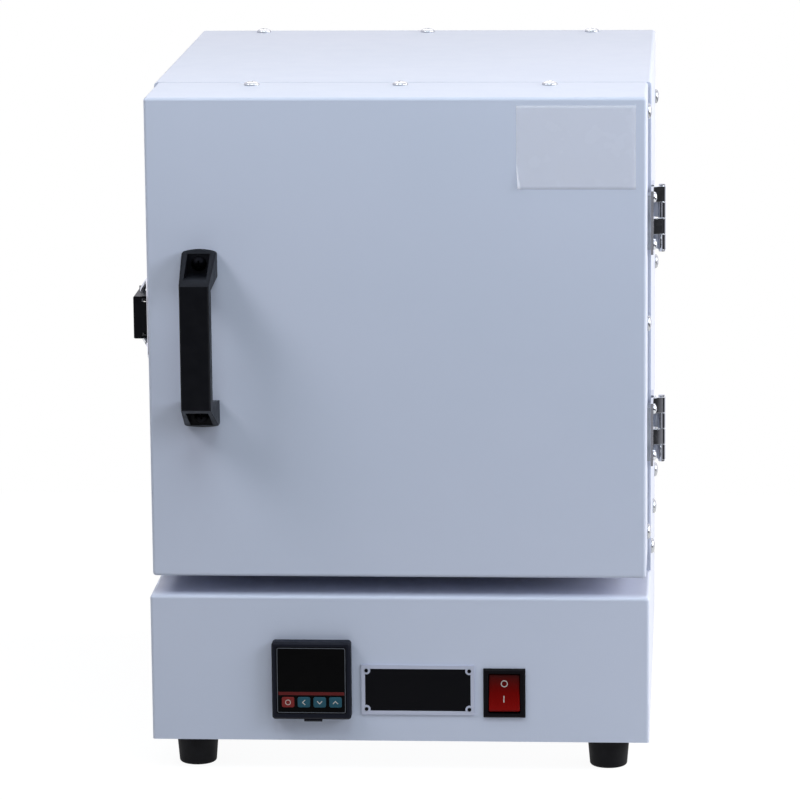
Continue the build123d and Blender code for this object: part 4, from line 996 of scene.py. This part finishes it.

# %% Window edge line and printed marks
low, high = (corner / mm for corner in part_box("controller_window"))
inset, corner_r, band_rise, band_inset = 0.7, 1, 12.6, 0.6
x0, x1, z0, z1 = low.x + inset, high.x - inset, low.z + inset, high.z - inset
left, right, foot, head = x0 + corner_r, x1 - corner_r, z0 + corner_r, z1 - corner_r
frame_line = []
for quarter, (x, z) in enumerate([(right, head), (left, head), (left, foot), (right, foot)]):
    frame_line += arc(x, z, corner_r, 90 * quarter, 90 * quarter + 90, 5)
# A grey line runs just inside the edge of the window, all the way round.
print_marks("window_frame_line", "controller_window", [(frame_line, 0.4, True)], window_edge_grey)
band_z = low.z + band_rise
band = [(x, band_z) for x in (x0 + band_inset, (x0 + x1) / 2, x1 - band_inset)]
print_marks("window_band", "controller_window", [(band, 2.0, False)], print_red)
x, z = centre("key_set")
print_marks("key_set_ring", "key_set", [(arc(x, z, 1.5), 0.4, True)], print_pale)
print_arrow("key_shift", [(0.8, 1.5), (-0.8, 0), (0.8, -1.5)])
print_arrow("key_down", [(-1.5, 0.8), (0, -0.8), (1.5, 0.8)])
print_arrow("key_up", [(-1.5, -0.8), (0, 0.8), (1.5, -0.8)])
x, z = centre("switch_rocker")
ring = (arc(x, z + 5.9, 1.85), 0.5, True)
stem = ([(x - 0.2, z - 5.4 + 0.5 * step) for step in range(9)], 0.55, False)
print_marks("rocker_marks", "switch_rocker", [ring, stem], print_pale)
print("marks printed")

# %% [markdown]
# A clear film is stuck on the door, with its lower left corner coming loose. A film that peels
# doesn't fold: it leaves the door along a slanted line and bends away more and more. It is never
# quite flat either, so shallow wrinkles break up its sheen.


# %% Film
def peeled_film(x0, x1, z0, z1, loose_x, loose_z, lift):
    """Thin film on the door, lifting at its lower left corner; all in millimetres."""
    columns, rows = 44, 26
    crowding, bend = 1.8, 1.4  # columns crowd towards the loose side, and the corner curls
    pull_x, pull_z = 0.3, 0.2  # how far a curl is drawn in, as shares of its lift
    clear, gap, wrinkle_height, thickness = 0.02, 0.04, 0.03, 0.08
    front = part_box("door_shell")[0].y / mm - clear
    shape = bmesh.new()
    grid = []
    for row in range(rows + 1):
        z = z0 + (z1 - z0) * row / rows
        line = []
        for column in range(columns + 1):
            x = x0 + (x1 - x0) * (column / columns) ** crowding
            slack = 1 - (x - x0) / loose_x - (z - z0) / loose_z
            away = lift * max(0, slack) ** bend
            wrinkle = wrinkle_height * math.sin(x * 0.55) * math.sin(z * 0.8 + x * 0.2)
            place = (x + pull_x * away, front - away - gap + wrinkle, z + pull_z * away)
            line.append(shape.verts.new(Vector(place) * mm))
        grid.append(line)
    for lower, upper in zip(grid, grid[1:]):
        for left in range(columns):
            right = left + 1
            shape.faces.new([lower[left], lower[right], upper[right], upper[left]])
    mesh = smooth(as_mesh(shape, "door_film"))
    piece = new_piece("door_film", mesh, "door_shell", film)
    sheet = piece.modifiers.new("Film thickness", "SOLIDIFY")
    sheet.thickness = thickness * mm
    return len(mesh.polygons)


film = new_finish("Clear film", (255, 251, 255), 0.24, Alpha=0.4, Specular_IOR_Level=0.3)
shine(film, noise(film, 12.0), 0.18, 0.3)
relief(film, noise(film, 9.0, 1.0, (1.0, 1.0, 0.5)), height=0.05, strength=0.4)
faces = peeled_film(76.4, 147.1, 358.2, 408.1, loose_x=2.6, loose_z=16.0, lift=3.2)
print(faces, "faces of film")

# %% [markdown]
# Under the controller's frame there is a small dark tab, the catch of its sleeve. It is a short bar
# with a sloping end, so its outline is drawn from the side and drawn out along its width.


# %% Catch tab
def catch_tab(x, width, top, front):
    """Small moulded catch under the controller's frame, with a sloping face."""
    outline = [(0, 0), (-6.2, 0), (-6.8, -0.5), (-6.0, -1.7), (0, -1.7)]
    shape = bmesh.new()
    ends = []
    for end in (x, x + width):
        ends.append([shape.verts.new(Vector((end, front + y, top + z)) * mm) for y, z in outline])
    add_tube(shape, ends)
    mesh = smooth(as_mesh(shape, "controller_catch", outward=True))
    ease_edges(new_piece("controller_catch", mesh, "controller_housing", bezel_plastic), 0.2)


catch_gap = 0.02
frame_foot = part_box("controller_housing")[0].z / mm
box_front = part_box("control_box_shell")[0].y / mm
catch_tab(x=-53.3, width=10.9, top=frame_foot - catch_gap, front=box_front)
print("catch in place")
